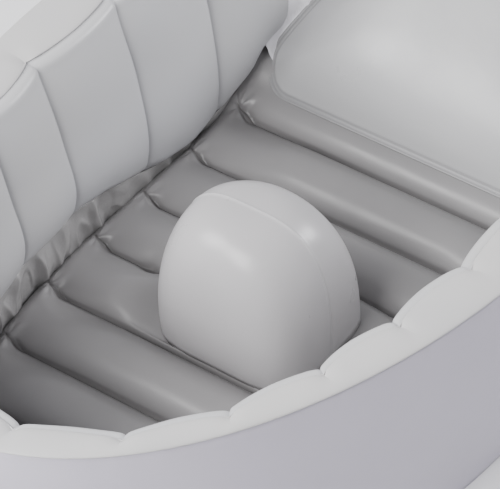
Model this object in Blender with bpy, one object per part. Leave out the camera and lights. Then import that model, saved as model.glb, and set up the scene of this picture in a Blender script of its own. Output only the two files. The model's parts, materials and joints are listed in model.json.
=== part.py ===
"""Inflatable bath tub: an air-filled wall ring, a ribbed air mattress as its floor,
a domed pommel, a crowned backrest cushion, air valves and a drain.

Every sheet is a thin film. Sheets meet edge to edge or lap at their welds with a
small clearance. Metres, +Z up, +X towards the backrest, origin on the ground
under the middle of the tub.
"""
import math
from collections import namedtuple

import bmesh
import bpy
import numpy as np
from mathutils import Matrix, Vector

# Film and clearance
film = 0.0005            # thickness of every welded sheet
gap = 0.0003             # clearance between touching pieces

# Wall ring
rim_half_length = 0.470
rim_half_width = 0.268
rim_foot_power = 2.0     # how square the plan is towards the foot end
rim_head_power = 2.7     # and towards the head end
inner_foot_power = 2.3
inner_head_power = 3.0
waist_head_power = 3.8   # the inner wall's waist is squarer there than its top
wall_height = 0.240
rim_crown = 0.004        # rise of the rim band between its two edges
rim_side_width = 0.035   # flat band of the rim at the long sides
rim_end_width = 0.027    # and at the two ends
rim_roll = 0.014         # radius of the rolled inner edge of the rim
wall_side_lean = 0.027   # how far the inner wall stands in at its waist, long sides
wall_end_lean = 0.017    # and at the ends
waist_rise = 0.020       # height of the waist above the lower weld
weld_tuck = 0.007        # how far the wall draws back from its waist to that weld
scallop = 0.009          # bulge of an inner wall panel between two seams
base_inset = 0.022       # how much smaller the outer wall is on the ground
wall_swell = 0.006       # bulge of the outer wall at mid height
skirt_foot_height = 0.062
skirt_head_height = 0.024
skirt_slope_start_share = -0.1456   # between these shares of the waist's half length
skirt_slope_end_share = 0.2670      # the skirt falls from one height to the other
base_band = 0.045        # width of the flat ring on the ground, under the wall
curve_steps = 2881       # how finely a plan curve is measured
sharp_angle = math.radians(40)
seam_shares = (0.028, 0.080, 0.132, 0.184, 0.236, 0.291, 0.334, 0.371, 0.408, 0.445, 0.482)
columns_per_panel = 4
# Lengths of the inner wall's film, each from one seam to another, counted round from
# the head end
wall_lengths = (("inner_wall_left_head", 2, 5), ("inner_wall_left_foot", 5, 8),
                ("inner_wall_foot", 8, 13), ("inner_wall_right_foot", 13, 16),
                ("inner_wall_right_head", 16, 19), ("inner_wall_head", 19, 24))

# Floor mattress
foot_pan = 0.037         # flat sheet with the drain, before the first valley
head_sheet = 0.136       # flat sheet under the backrest, past the last valley
rib_count = 7
last_rib_share = 0.8243  # width of the last rib, as a share of the others
rib_height = 0.046
valley_height = 0.015
last_rib_height = 0.040
mattress_side_gap = 0.006   # from the waist of the wall to the side of the mattress
mattress_end_gap = 0.018    # and to its two ends
mattress_round = 0.018      # width over which its top rounds off to its side
mattress_foot = 0.008       # and how far its side goes on to the flat border
mattress_lip = 0.010        # flat weld border that runs on under the skirt
head_pan = 0.006            # height of the flat sheet under the backrest
head_fall = 0.015           # over which it comes down to that
broken_valley = 4           # the valley that stops short on both sides of the pommel
broken_width_share = 1.5    # where it starts, as a share of the pommel's half width
broken_end_share = 0.5      # over which it rises
broken_rise_share = 0.75    # how much of the rib's height it rises
rib_power = 2.2
rib_shares = (0, 0.1, 0.3, 0.5, 0.7, 0.9)
side_shares = (0.8, 0.6, 0.4)
inner_row_share = 0.55
weld_share = 0.8            # how far out the lower sheet follows the valleys

# Pommel
pommel_place_share = 0.4981   # its middle, from the first valley to the last
pommel_half_length = 0.0712
pommel_half_width = 0.0792
pommel_height = 0.1726
pommel_lean = 0.0139
pommel_power = 3.2            # how upright its sides are
pommel_foot_plan_power = 4.8  # how square its plan is at the foot
pommel_top_plan_power = 1.8   # and at the top
pommel_tuck_share = 0.05      # how much it draws in at the foot
pommel_tuck_power = 2.25
pommel_pad_height = 0.0242  # level ground of the mattress round the pommel
pommel_pad_share = 1.22     # how far past the pommel it stays level
pommel_moat_share = 1.55    # and where the ribs are back at full height
pommel_rings = 8
pommel_sectors = 12

# Backrest
backrest_weld_share = 0.4262   # its lower weld, as a share of the last rib's width
backrest_end_gap = 0.0067      # from its top to the bulge of the wall's head end
backrest_top_drop = 0.0004     # and down from the top of the wall's panels
backrest_width_share = 0.9635  # its half width, as a share of the waist's
backrest_corner_length = 0.045
backrest_corner_width = 0.036
backrest_taper_power = 1.2
backrest_round_power = 2.2
backrest_crown = 0.042
backrest_rise_power = 2.3
backrest_side_power = 3.0
along_shares = (0, 0.03, 0.08, 0.16, 0.3, 0.45, 0.6, 0.74, 0.86, 0.94, 0.985)
across_shares = (-1, -0.92, -0.75, -0.45, -0.15, 0.15, 0.45, 0.75, 0.92, 1)
support_along_shares = (0, 0.2, 0.45, 0.7, 1)
support_across_shares = (-1, -0.6, 0, 0.6, 1)
support_start = 0.016    # where the support sheet starts, up the slope
support_clearance = 0.0008

# Air valves: a flange welded on the sheet, a stem that slides through it, a flap
# under the stem, a plug in it and the strap of the plug
valve_flange_radius = 0.019
valve_flange_thickness = 0.0012
valve_stem_radius = 0.0084
valve_bore_radius = 0.0060
valve_stem_depth = 0.016
valve_lip_radius = 0.0108
valve_lip_thickness = 0.0012
valve_plug_radius = 0.0092
valve_plug_thickness = 0.0014
valve_spigot_length = 0.007
running_gap = 0.0004
flap_radius = 0.0072
flap_thickness = 0.0006
tab_length = 0.006
tab_width = 0.006
strap_width = 0.004
strap_thickness = 0.0008
strap_reach = 0.005
wall_valve_panel = 3         # counted round from the head end, on the far side
floor_valve_rib = 0
floor_valve_y = 0.060
backrest_valve_share = 0.80  # its place up the cushion

# Drain
drain_valley_gap = 0.002
drain_bore_radius = 0.012
drain_wall = 0.003
drain_flange_radius = 0.020
drain_flange_thickness = 0.0015
drain_plug_radius = 0.016
drain_plug_thickness = 0.002
drain_spigot_length = 0.007
drain_strap_reach = 0.008

round_sides = 16

Ring = namedtuple("Ring", "length width foot head")
Frame = namedtuple("Frame", "origin side up out")


def clear_scene():
    """Remove every object of the open scene."""
    for obj in list(bpy.data.objects):
        bpy.data.objects.remove(obj, do_unlink=True)


def make_material(name, colour, roughness):
    """Return a plain Principled material."""
    material = bpy.data.materials.new(name)
    material.use_nodes = True
    shader = material.node_tree.nodes["Principled BSDF"]
    shader.inputs["Base Color"].default_value = (*colour, 1.0)
    shader.inputs["Roughness"].default_value = roughness
    shader.inputs["Metallic"].default_value = 0.0
    return material


def finish_mesh(name, mesh_data, material, location=None, frame=None):
    """Link a bmesh as a named object, faces outwards, smooth with sharp edges kept."""
    bmesh.ops.recalc_face_normals(mesh_data, faces=mesh_data.faces)
    mesh = bpy.data.meshes.new(name)
    mesh_data.to_mesh(mesh)
    mesh_data.free()
    mesh.shade_smooth()
    mesh.set_sharp_from_angle(angle=sharp_angle)
    obj = bpy.data.objects.new(name, mesh)
    bpy.context.scene.collection.objects.link(obj)
    obj.data.materials.append(material)
    if location is not None:
        obj.location = location
    if frame is not None:
        turn = Matrix((frame.side, frame.up, frame.out)).transposed().to_4x4()
        obj.matrix_world = Matrix.Translation(frame.origin) @ turn
    return obj


def sheet(name, rows, material, closed=False, thickness=film):
    """Make a film from rows of points; a closed sheet joins its last column to its first."""
    data = bmesh.new()
    verts = [[data.verts.new(point) for point in row] for row in rows]
    count = len(verts[0])
    for low, high in zip(verts, verts[1:]):
        for i in range(count if closed else count - 1):
            j = (i + 1) % count
            data.faces.new((low[i], low[j], high[j], high[i]))
    mesh = bpy.data.meshes.new(name)
    data.to_mesh(mesh)
    data.free()
    mesh.shade_smooth()
    obj = bpy.data.objects.new(name, mesh)
    bpy.context.scene.collection.objects.link(obj)
    obj.data.materials.append(material)
    solid = obj.modifiers.new("film", "SOLIDIFY")
    solid.thickness = thickness
    solid.offset = 0.0
    solid.use_even_offset = False
    return obj


def cut_hole(obj, frame, radius, depth):
    """Cut a round hole through a sheet, along the frame's outward axis."""
    data = bmesh.new()
    bmesh.ops.create_cone(data, cap_ends=True, segments=round_sides, radius1=radius,
                          radius2=radius, depth=depth)
    cutter = finish_mesh(obj.name + "_hole", data, obj.data.materials[0], frame=frame)
    cutter.hide_render = True
    cutter.display_type = "WIRE"
    cut = obj.modifiers.new("hole", "BOOLEAN")
    cut.operation = "DIFFERENCE"
    cut.solver = "EXACT"
    cut.object = cutter


def circle(radius):
    """Corners of the polygon that stands for a circle."""
    angles = [2 * math.pi * k / round_sides for k in range(round_sides)]
    return [(radius * math.cos(angle), radius * math.sin(angle)) for angle in angles]


def circle_with_tab(radius):
    """The same polygon with three of its corners drawn out into a pull tab."""
    points = circle(radius)
    for k in (-1, 0, 1):
        points[k] = (radius + tab_length, k * tab_width / 2)
    return points


def lathe(name, profile, material, frame, tab_radius=None):
    """Turn an outline of radii and heights about the frame's outward axis.

    An outline that starts and ends on the axis is solid, any other one is closed to
    a ring. The loops of tab_radius carry a pull tab.
    """
    data = bmesh.new()
    loops = []
    for radius, height in profile:
        if radius == 0:
            loops.append([data.verts.new((0, 0, height))])
            continue
        points = circle_with_tab(radius) if radius == tab_radius else circle(radius)
        loops.append([data.verts.new((x, y, height)) for x, y in points])
    pairs = list(zip(loops, loops[1:]))
    if len(loops[0]) > 1:
        pairs.append((loops[-1], loops[0]))
    for low, high in pairs:
        join_loops(data, low, high)
    return finish_mesh(name, data, material, frame=frame)


def join_loops(data, low, high):
    """Join two rings of vertices; either may be a single point on the axis."""
    count = max(len(low), len(high))
    for i in range(count):
        j = (i + 1) % count
        if len(low) == 1:
            data.faces.new((low[0], high[i], high[j]))
        elif len(high) == 1:
            data.faces.new((low[i], low[j], high[0]))
        else:
            data.faces.new((low[i], low[j], high[j], high[i]))


def prism(name, outline, width, material, frame):
    """Extrude an outline of (side, out) points across a width, centred on the frame."""
    data = bmesh.new()
    near = [data.verts.new((x, -width / 2, z)) for x, z in outline]
    far = [data.verts.new((x, width / 2, z)) for x, z in outline]
    data.faces.new(near)
    data.faces.new(far)
    for i in range(len(outline)):
        j = (i + 1) % len(outline)
        data.faces.new((near[i], near[j], far[j], far[i]))
    return finish_mesh(name, data, material, frame=frame)


def arch(share, power=2.0):
    """Height share of an arc between two welds, 0 at both ends and 1 in the middle."""
    return (1 - abs(2 * share - 1) ** power) ** (1 / power)


def ease(value, start, end):
    """Smooth step from 0 at start to 1 at end."""
    share = min(max((value - start) / (end - start), 0), 1)
    return share * share * (3 - 2 * share)


# Plan curves of the wall

def inset(ring, end, side):
    """Return a plan curve drawn in at its ends and its sides."""
    return Ring(ring.length - end, ring.width - side, ring.foot, ring.head)


def rim_outer_ring():
    return Ring(rim_half_length, rim_half_width, rim_foot_power, rim_head_power)


def rim_inner_ring():
    ring = Ring(rim_half_length, rim_half_width, inner_foot_power, inner_head_power)
    return inset(ring, rim_end_width, rim_side_width)


def wall_top_ring():
    return inset(rim_inner_ring(), rim_roll, rim_roll)


def waist_ring():
    return inset(wall_top_ring(), wall_end_lean, wall_side_lean)._replace(head=waist_head_power)


def leaning_ring(share):
    """Plan curve of the inner wall part of the way from its waist to its top."""
    low, high = waist_ring(), wall_top_ring()
    return Ring(*[start + (end - start) * share for start, end in zip(low, high)])


def skirt_ring():
    return inset(waist_ring(), -weld_tuck, -weld_tuck)


def column_shares():
    """Shares of the way round from the head end, a seam at every fourth column."""
    seams = list(seam_shares) + [1 - share for share in reversed(seam_shares)]
    shares = []
    for start, end in zip(seams, seams[1:] + [seams[0] + 1]):
        for step in range(columns_per_panel):
            shares.append(start + (end - start) * step / columns_per_panel)
    return shares


def ring_points(ring, shares):
    """Points and outward directions on a plan curve, by share of its length."""
    turns = np.linspace(0, 2 * math.pi, curve_steps)
    cosines, sines = np.cos(turns), np.sin(turns)
    power = np.where(cosines < 0, ring.foot, ring.head)
    xs = ring.length * np.sign(cosines) * np.abs(cosines) ** (2 / power)
    ys = ring.width * np.sign(sines) * np.abs(sines) ** (2 / power)
    way = np.concatenate(([0], np.cumsum(np.hypot(np.diff(xs), np.diff(ys)))))
    step = way[-1] / len(turns)
    found = []
    for share in shares:
        place = (share % 1) * way[-1]
        x, y = np.interp(place, way, xs), np.interp(place, way, ys)
        before, after = (place - step) % way[-1], (place + step) % way[-1]
        dx = np.interp(after, way, xs) - np.interp(before, way, xs)
        dy = np.interp(after, way, ys) - np.interp(before, way, ys)
        size = math.hypot(dx, dy)
        found.append((float(x), float(y), dy / size, -dx / size))
    return found


def half_width(ring, x):
    """Half the width of a plan curve at a distance along it, 0 beyond its ends."""
    power = ring.foot if x < 0 else ring.head
    rest = 1 - (abs(x) / ring.length) ** power
    return ring.width * rest ** (1 / power) if rest > 0 else 0.0


def ring_row(ring, shares, height, bulge=0.0):
    """One row of sheet points; height may be a function of x, bulge is inwards."""
    row = []
    for index, (x, y, out_x, out_y) in enumerate(ring_points(ring, shares)):
        share = (index % columns_per_panel) / columns_per_panel
        push = bulge * arch(share)
        z = height(x) if callable(height) else height
        row.append(Vector((x - out_x * push, y - out_y * push, z)))
    return row


def skirt_top(x):
    """Height of the weld between the wall panels and the skirt."""
    reach = waist_ring().length
    fall = ease(x, skirt_slope_start_share * reach, skirt_slope_end_share * reach)
    return skirt_foot_height + (skirt_head_height - skirt_foot_height) * fall


rim_weld_height = wall_height - rim_crown - film / 2
lap_height = rim_weld_height - film - gap
wall_top_height = rim_weld_height - rim_roll
middle_height = (rim_weld_height + skirt_foot_height) / 2
middle_lean_share = 1 / 3
middle_bulge_share = 2 / 3
wall_height_shares = (0, 1 / 3, 2 / 3, 1)
base_level = film / 2
bottom_level = base_level + film + gap       # lower floor sheet at its border
border_level = bottom_level + film + gap     # upper floor sheet at its border
skirt_foot = border_level + film / 2 + gap


def wall_rows(shares):
    """Rows of the inner wall, from its lower weld to its lap under the rim."""
    roll_drop = rim_roll * math.cos(math.pi / 4)
    roll = inset(rim_inner_ring(), roll_drop, roll_drop)
    return [
        ring_row(skirt_ring(), shares, lambda x: skirt_top(x) + gap),
        ring_row(waist_ring(), shares, lambda x: skirt_top(x) + waist_rise,
                 scallop * middle_bulge_share),
        ring_row(leaning_ring(middle_lean_share), shares, middle_height, scallop),
        ring_row(wall_top_ring(), shares, wall_top_height, scallop),
        ring_row(roll, shares, wall_top_height + roll_drop - film - gap, scallop),
        ring_row(inset(rim_inner_ring(), -weld_tuck, -weld_tuck), shares, lap_height),
    ]


def wall_length(row, start, end):
    """Part of a row from one seam to another, stopping half a film short of both."""
    columns = range(start * columns_per_panel, end * columns_per_panel + 1)
    points = [row[column % len(row)].copy() for column in columns]
    points[0] += (points[1] - points[0]).normalized() * film / 2
    points[-1] += (points[-2] - points[-1]).normalized() * film / 2
    return points


def outer_rows(shares):
    """Rows of the outer wall, from the ground to the rim weld."""
    rim = rim_outer_ring()
    low = base_level + film / 2 + gap
    high = lap_height + film / 2
    rows = []
    for share in wall_height_shares:
        drawn_in = base_inset * (1 - share) ** 2 - wall_swell * swell(share) + film * share
        rows.append(ring_row(inset(rim, drawn_in, drawn_in), shares, low + (high - low) * share))
    return rows


def swell(share):
    """Shape of the outer wall's bulge, 1 at two thirds of its height."""
    return share * share * (1 - share) * 27 / 4


def build_wall(film_light, film_outer, film_dark):
    """The wall ring: inner and outer sheets, rim band, skirt, base ring and webs."""
    fine = column_shares()
    coarse = fine[::2]
    inner = wall_rows(fine)
    outer = outer_rows(coarse)
    for name, start, end in wall_lengths:
        sheet(name, [wall_length(row, start, end) for row in inner], film_light)
    outer_wall = sheet("outer_wall", outer, film_outer, closed=True)
    rim_inner, rim_outer = rim_inner_ring(), rim_outer_ring()
    half = inset(rim_outer, rim_end_width / 2, rim_side_width / 2)
    sheet("rim_band", [
        ring_row(rim_inner, fine, rim_weld_height, scallop),
        ring_row(half, fine, rim_weld_height + rim_crown),
        ring_row(rim_outer, fine, rim_weld_height),
    ], film_light, closed=True)
    base_outer = inset(rim_outer, base_inset, base_inset)
    sheet("wall_base", [
        ring_row(inset(base_outer, base_band, base_band), coarse, base_level),
        ring_row(inset(base_outer, -gap, -gap), coarse, base_level),
    ], film_outer, closed=True)
    sheet("wall_skirt", [
        ring_row(skirt_ring(), fine, skirt_foot),
        ring_row(skirt_ring(), fine, skirt_top),
    ], film_dark, closed=True)
    build_webs(inner, outer, film_light)
    return outer_wall, outer


def build_webs(inner, outer, material):
    """A tie strip behind each seam, from the inner wall to the outer wall."""
    inner_ends = [inner[1], inner[2], inner[3]]
    for number in range(2 * len(seam_shares)):
        rows = []
        for row in inner_ends:
            near = row[number * columns_per_panel]
            far = point_at_height(outer, number * columns_per_panel // 2, near.z)
            reach = (far - near).normalized() * (film / 2 + gap)
            rows.append([near + reach, far - reach])
        sheet("wall_web_%02d" % (number + 1), rows, material)


def point_at_height(rows, column, height):
    """Point of a sheet's column at a height, between its rows."""
    for low, high in zip(rows, rows[1:]):
        start, end = low[column], high[column]
        if height <= end.z:
            return start.lerp(end, (height - start.z) / (end.z - start.z))
    return rows[-1][column]


# Floor mattress

def floor_ring():
    """Plan curve that the floor sheets are cut to, rounder than the wall at its head end."""
    return waist_ring()._replace(head=inner_head_power)


def mattress_ring():
    """Plan curve of the full-height side of the mattress."""
    return inset(floor_ring(), mattress_end_gap, mattress_side_gap)


def border_ring():
    """Outer edge of both floor sheets, under the skirt's foot."""
    skirt = inset(floor_ring(), -weld_tuck, -weld_tuck)
    return inset(skirt, -mattress_lip, -mattress_lip)


def valleys():
    """Places of the weld lines between the ribs, from foot to head."""
    reach = full_ring().length
    start, end = foot_pan - reach, reach - head_sheet
    rib_width = (end - start) / (rib_count + last_rib_share)
    return [start + rib_width * k for k in range(rib_count + 1)] + [end]


def pommel_x():
    """Middle of the pommel along the tub."""
    places = valleys()
    return places[0] + (places[-1] - places[0]) * pommel_place_share


def plan_share(ring, x, y):
    """1 on a plan curve, less inside it."""
    power = ring.foot if x < 0 else ring.head
    return ((abs(x) / ring.length) ** power + (abs(y) / ring.width) ** power) ** (1 / power)


def crest_height(x, y):
    """Height of the mattress over its valleys and ribs, away from its sides."""
    places = valleys()
    if x <= places[0]:
        return valley_height
    if x >= places[-1]:
        drop = ease(x - places[-1], 0, head_fall)
        return valley_height + (head_pan - valley_height) * drop
    rib = max(k for k, place in enumerate(places) if place <= x)
    share = (x - places[rib]) / (places[rib + 1] - places[rib])
    top = last_rib_height if rib == rib_count else rib_height
    valley = valley_height
    nearest = rib + round(share)
    if nearest == broken_valley:
        start, width = broken_width_share * pommel_half_width, broken_end_share * pommel_half_width
        valley += (rib_height - valley_height) * broken_rise_share * ease(start - abs(y), 0, width)
    ribs = valley + (top - valley) * arch(share, rib_power)
    ring = Ring(pommel_half_length, pommel_half_width, pommel_foot_plan_power,
                pommel_foot_plan_power)
    pad = 1 - ease(plan_share(ring, x - pommel_x(), y), pommel_pad_share, pommel_moat_share)
    return ribs + (pommel_pad_height - ribs) * pad


def full_ring():
    """Plan curve inside which the mattress has its full height."""
    return inset(mattress_ring(), mattress_round, mattress_round)


def flat_ring():
    """Plan curve outside which the floor sheets lie flat."""
    return inset(mattress_ring(), -mattress_foot, -mattress_foot)


def floor_height(x, y):
    """Height of the upper floor sheet."""
    past_full = plan_share(full_ring(), x, y) - 1
    short_of_flat = 1 - plan_share(flat_ring(), x, y)
    inner = crest_height(x, y)
    if past_full <= 0:
        return inner
    if short_of_flat <= 0:
        return border_level
    blend = past_full / (past_full + short_of_flat)
    return border_level + (inner - border_level) * (1 - blend ** 3) ** (1 / 3)


def end_columns():
    """Distances along the tub of the rows past its ribs, foot end first, then head end."""
    places = valleys()
    border, end = border_ring().length - gap, flat_ring().length
    side, full = mattress_ring().length, full_ring().length
    foot = [-border, -end, -side, -full, (places[0] - full) / 2]
    return foot, [places[-1] + head_fall, full, side, end, border]


def rib_columns():
    """Distances along the tub at which the upper floor sheet has a row of points."""
    places = valleys()
    foot, head = end_columns()
    ribs = []
    for start, stop in zip(places, places[1:]):
        ribs += [start + (stop - start) * share for share in rib_shares]
    return sorted(foot + ribs + [backrest_x()] + places[-1:] + head)


def floor_places(x):
    """Distances across the tub at which the upper floor sheet has a point."""
    reach = half_width(border_ring(), x)
    places = [reach]
    for ring, share in zip((flat_ring(), mattress_ring(), full_ring()), side_shares):
        places.append(max(half_width(ring, x), reach * share))
    places.append(places[-1] * inner_row_share)
    return [-place for place in places] + [0.0] + places[::-1]


def weld_lift(x, y):
    """Height of the lower floor sheet where a valley holds it up."""
    return max(floor_height(x, y) - film - 3 * gap, bottom_level)


def lower_row(x, welded):
    """One row of the lower floor sheet."""
    reach = half_width(border_ring(), x)
    side = max(half_width(mattress_ring(), x), reach * weld_share)
    weld = side * weld_share
    lift = weld_lift(x, weld) if welded else bottom_level
    row = [Vector((x, y, bottom_level)) for y in (reach, side)]
    row.append(Vector((x, weld, lift)))
    return [Vector((point.x, -point.y, point.z)) for point in row] + row[::-1]


def build_floor(material):
    """The two sheets of the mattress, welded round their border and at each valley."""
    upper = []
    for x in rib_columns():
        upper.append([Vector((x, y, floor_height(x, y))) for y in floor_places(x)])
    top_sheet = sheet("floor_top_sheet", upper, material)
    places = valleys()
    rows = [(x, True) for x in places]
    rows += [((start + stop) / 2, False) for start, stop in zip(places, places[1:])]
    foot, head = end_columns()
    rows += [(x, False) for x in foot + head]
    lower = [lower_row(x, welded) for x, welded in sorted(rows)]
    bottom_sheet = sheet("floor_bottom_sheet", lower, material)
    return top_sheet, bottom_sheet


# Pommel

def pommel_rows(side):
    """Half of the dome; side is -1 for the foot panel and 1 for the head panel."""
    rows = []
    for level in range(pommel_rings + 1):
        angle = level / pommel_rings * math.pi / 2
        row = []
        for sector in range(pommel_sectors + 1):
            row.append(pommel_point(side, angle, sector / pommel_sectors))
        rows.append(row)
    return rows


def pommel_point(side, angle, turn_share):
    """A point of the dome by its climb angle and its share of the half turn."""
    turn = -math.pi / 2 + math.pi * turn_share
    rise = math.sin(angle)
    shrink = (1 - rise ** pommel_power) ** (1 / pommel_power)
    shrink *= 1 - pommel_tuck_share * (1 - rise) ** pommel_tuck_power
    shrink = max(shrink, gap / pommel_half_width)
    cosine, sine = math.cos(turn), math.sin(turn)
    squareness = (pommel_foot_plan_power
                  + (pommel_top_plan_power - pommel_foot_plan_power) * rise)
    plan = 2 / squareness
    x = pommel_half_length * abs(cosine) ** plan * shrink
    y = pommel_half_width * math.copysign(abs(sine) ** plan, sine) * shrink
    foot = pommel_pad_height + film + gap
    z = foot + (pommel_height - film - foot) * rise
    lean = pommel_lean * rise
    seam = side * (film / 2 + gap / 2)
    return Vector((pommel_x() + seam + side * x - lean, y, z))


def build_pommel(material):
    """The two panels of the pommel, welded along an arch across the tub."""
    for name, side in (("pommel_foot_panel", -1), ("pommel_head_panel", 1)):
        sheet(name, pommel_rows(side), material)


# Backrest

def backrest_x():
    """Where the cushion's lower weld crosses the last rib."""
    start, end = valleys()[-2:]
    return start + (end - start) * backrest_weld_share


def backrest_foot():
    """Middle of the cushion's lower weld."""
    x = backrest_x()
    return Vector((x, 0, crest_height(x, 0) + film + gap))


def backrest_slope():
    """From its lower weld to its top, which lies against the wall's head end."""
    top_x = wall_top_ring().length - scallop - backrest_end_gap
    return Vector((top_x, 0, wall_top_height - backrest_top_drop)) - backrest_foot()


def backrest_length():
    return backrest_slope().length


def slope_point(along, across, proud):
    """A point by its distance up the slope, across it and out of it."""
    up_slope = backrest_slope().normalized()
    out = Vector((-up_slope.z, 0, up_slope.x))
    return backrest_foot() + up_slope * along + Vector((0, across, 0)) + out * proud


def cushion_half_width(along):
    """Half the width of the cushion's weld line at a distance up the slope."""
    widest = waist_ring().width * backrest_width_share
    if along < backrest_corner_length:
        share = (backrest_corner_length - along) / backrest_corner_length
        straight = widest - backrest_corner_width
        return straight + backrest_corner_width * math.sqrt(max(1 - share * share, 0))
    share = (along - backrest_corner_length) / (backrest_length() - backrest_corner_length)
    rest = max(1 - share ** backrest_taper_power, 0)
    return widest * rest ** (1 / backrest_round_power)


def cushion_rise(along, share):
    """How far the cushion's front stands out of the slope."""
    along_share = min(along / backrest_length(), 1)
    across = math.sqrt(1 - abs(share) ** backrest_side_power)
    return backrest_crown * arch(along_share, backrest_rise_power) * across


def build_backrest(material):
    """The crowned front sheet and the support sheet slung between the walls."""
    front = []
    for along_share in along_shares:
        along = along_share * backrest_length()
        level = slope_point(along, 0, 0)
        reach = min(cushion_half_width(along), wall_half_width(level.x, level.z))
        crown = 0 if along_share in (along_shares[0], along_shares[-1]) else 1
        front.append([slope_point(along, reach * share, crown * cushion_rise(along, share))
                      for share in across_shares])
    front_sheet = sheet("backrest_front", front, material)
    rows = []
    for along_share in support_along_shares:
        along = support_start + (backrest_length() - support_start) * along_share
        level = slope_point(along, 0, -film - gap)
        reach = wall_half_width(level.x, level.z)
        rows.append([Vector((level.x, reach * share, level.z)) for share in support_across_shares])
    sheet("backrest_support", rows, material)
    return front_sheet


def wall_half_width(x, z):
    """Clear half width between the bulging inner walls at a place and a height."""
    heights = (skirt_top(x) + waist_rise, middle_height, wall_top_height)
    share = float(np.interp(z, heights, (0, middle_lean_share, 1)))
    clear = scallop + support_clearance
    return half_width(inset(leaning_ring(share), clear, clear), x)


# Valves and drain

def frame_at(origin, side, out):
    """A right-handed frame from its origin and two of its directions."""
    out = out.normalized()
    side = (side - out * side.dot(out)).normalized()
    return Frame(origin, side, out.cross(side), out)


def flange(name, surface, frame, material):
    """A thin washer that follows the sheet under it."""
    lift = frame.out * (film / 2 + gap + valve_flange_thickness / 2)
    hole = valve_stem_radius + running_gap
    rows = []
    for radius in (hole, (hole + valve_flange_radius) / 2, valve_flange_radius):
        rows.append([surface(x, y) + lift for x, y in circle(radius)])
    sheet(name, rows, material, closed=True, thickness=valve_flange_thickness)


def strap(name, inner_low, inner_high, low, high, reach, material, frame):
    """A bent strip from a collar to the edge of the plug above it."""
    outline = [
        (-inner_low, low),
        (-inner_low, low + strap_thickness),
        (-reach + strap_thickness, low + strap_thickness),
        (-reach + strap_thickness, high),
        (-inner_high, high),
        (-inner_high, high + strap_thickness),
        (-reach, high + strap_thickness),
        (-reach, low),
    ]
    prism(name, outline, strap_width, material, frame)


def valve(name, sheet_object, surface, frame, materials):
    """One air valve, pushed in, with its plug closed."""
    soft, clear = materials
    cut_hole(sheet_object, frame, valve_stem_radius + running_gap, valve_flange_radius)
    flange(name + "_flange", surface, frame, soft)
    lip_low = film / 2 + gap + valve_flange_thickness + gap
    lip_high = lip_low + valve_lip_thickness
    lathe(name + "_stem", [
        (valve_bore_radius, lip_high),
        (valve_lip_radius, lip_high),
        (valve_lip_radius, lip_low),
        (valve_stem_radius, lip_low),
        (valve_stem_radius, -valve_stem_depth),
        (valve_bore_radius, -valve_stem_depth),
    ], soft, frame)
    plug_low = lip_high + gap
    plug_high = plug_low + valve_plug_thickness
    spigot = valve_bore_radius - running_gap
    lathe(name + "_plug", [
        (0, plug_low - valve_spigot_length),
        (spigot, plug_low - valve_spigot_length),
        (spigot, plug_low),
        (valve_plug_radius, plug_low),
        (valve_plug_radius, plug_high),
        (0, plug_high),
    ], soft, frame, tab_radius=valve_plug_radius)
    strap(name + "_strap", valve_lip_radius + gap, valve_plug_radius + gap, lip_low, plug_low,
          valve_lip_radius + strap_reach, soft, frame)
    hinge = frame.origin - frame.side * flap_radius - frame.out * (valve_stem_depth + gap)
    flap(name + "_flap", Frame(hinge, frame.side, frame.up, frame.out), clear)


def flap(name, frame, material):
    """A thin round flap whose hinge is at the edge of its disc."""
    data = bmesh.new()
    low = [data.verts.new((x + flap_radius, y, -flap_thickness)) for x, y in circle(flap_radius)]
    high = [data.verts.new((x + flap_radius, y, 0)) for x, y in circle(flap_radius)]
    data.faces.new(low)
    data.faces.new(high)
    join_loops(data, low, high)
    finish_mesh(name, data, material, frame=frame)


def wall_valve_frame(outer):
    """The middle of one face of the outer wall, and how far that face is bowed."""
    column = 2 * wall_valve_panel
    corners = [outer[1][column], outer[1][column + 1], outer[2][column + 1], outer[2][column]]
    middle = sum(corners, Vector()) / len(corners)
    out = (corners[1] - corners[3]).cross(corners[2] - corners[0]).normalized()
    if out.dot(middle) < 0:
        out = -out
    bow = abs((corners[0] + corners[2] - corners[1] - corners[3]).dot(out)) / 4
    return frame_at(middle + out * bow, Vector((0, 0, 1)), out)


def floor_valve_frame():
    """The crest of a rib near the foot end."""
    x = sum(valleys()[floor_valve_rib:floor_valve_rib + 2]) / 2
    origin = Vector((x, floor_valve_y, floor_height(x, floor_valve_y)))
    return frame_at(origin, Vector((0, 1, 0)), Vector((0, 0, 1)))


def cushion_point(along, across):
    """A point of the cushion's front."""
    share = across / cushion_half_width(along)
    return slope_point(along, across, cushion_rise(along, share))


def backrest_valve_frame():
    """High on the cushion, square to its front."""
    along = backrest_length() * backrest_valve_share
    reach = valve_flange_radius
    origin = cushion_point(along, 0)
    up_slope = cushion_point(along + reach, 0) - cushion_point(along - reach, 0)
    across = cushion_point(along, reach) - cushion_point(along, -reach)
    return frame_at(origin, across, up_slope.cross(across))


def build_valves(sheets, outer, materials):
    """The three air valves: wall, floor and backrest."""
    wall = wall_valve_frame(outer)
    valve("wall_valve", sheets["outer_wall"],
          lambda x, y: wall.origin + wall.side * x + wall.up * y, wall, materials)
    floor = floor_valve_frame()

    def floor_surface(x, y):
        place = floor.origin + floor.side * x + floor.up * y
        return Vector((place.x, place.y, floor_height(place.x, place.y)))

    valve("floor_valve", sheets["floor_top"], floor_surface, floor, materials)
    back = backrest_valve_frame()
    along = backrest_length() * backrest_valve_share
    up_slope = backrest_slope().normalized()

    def cushion_surface(x, y):
        place = back.side * x + back.up * y
        return cushion_point(along + place.dot(up_slope), place.y)

    valve("backrest_valve", sheets["backrest_front"], cushion_surface, back, materials)


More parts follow.
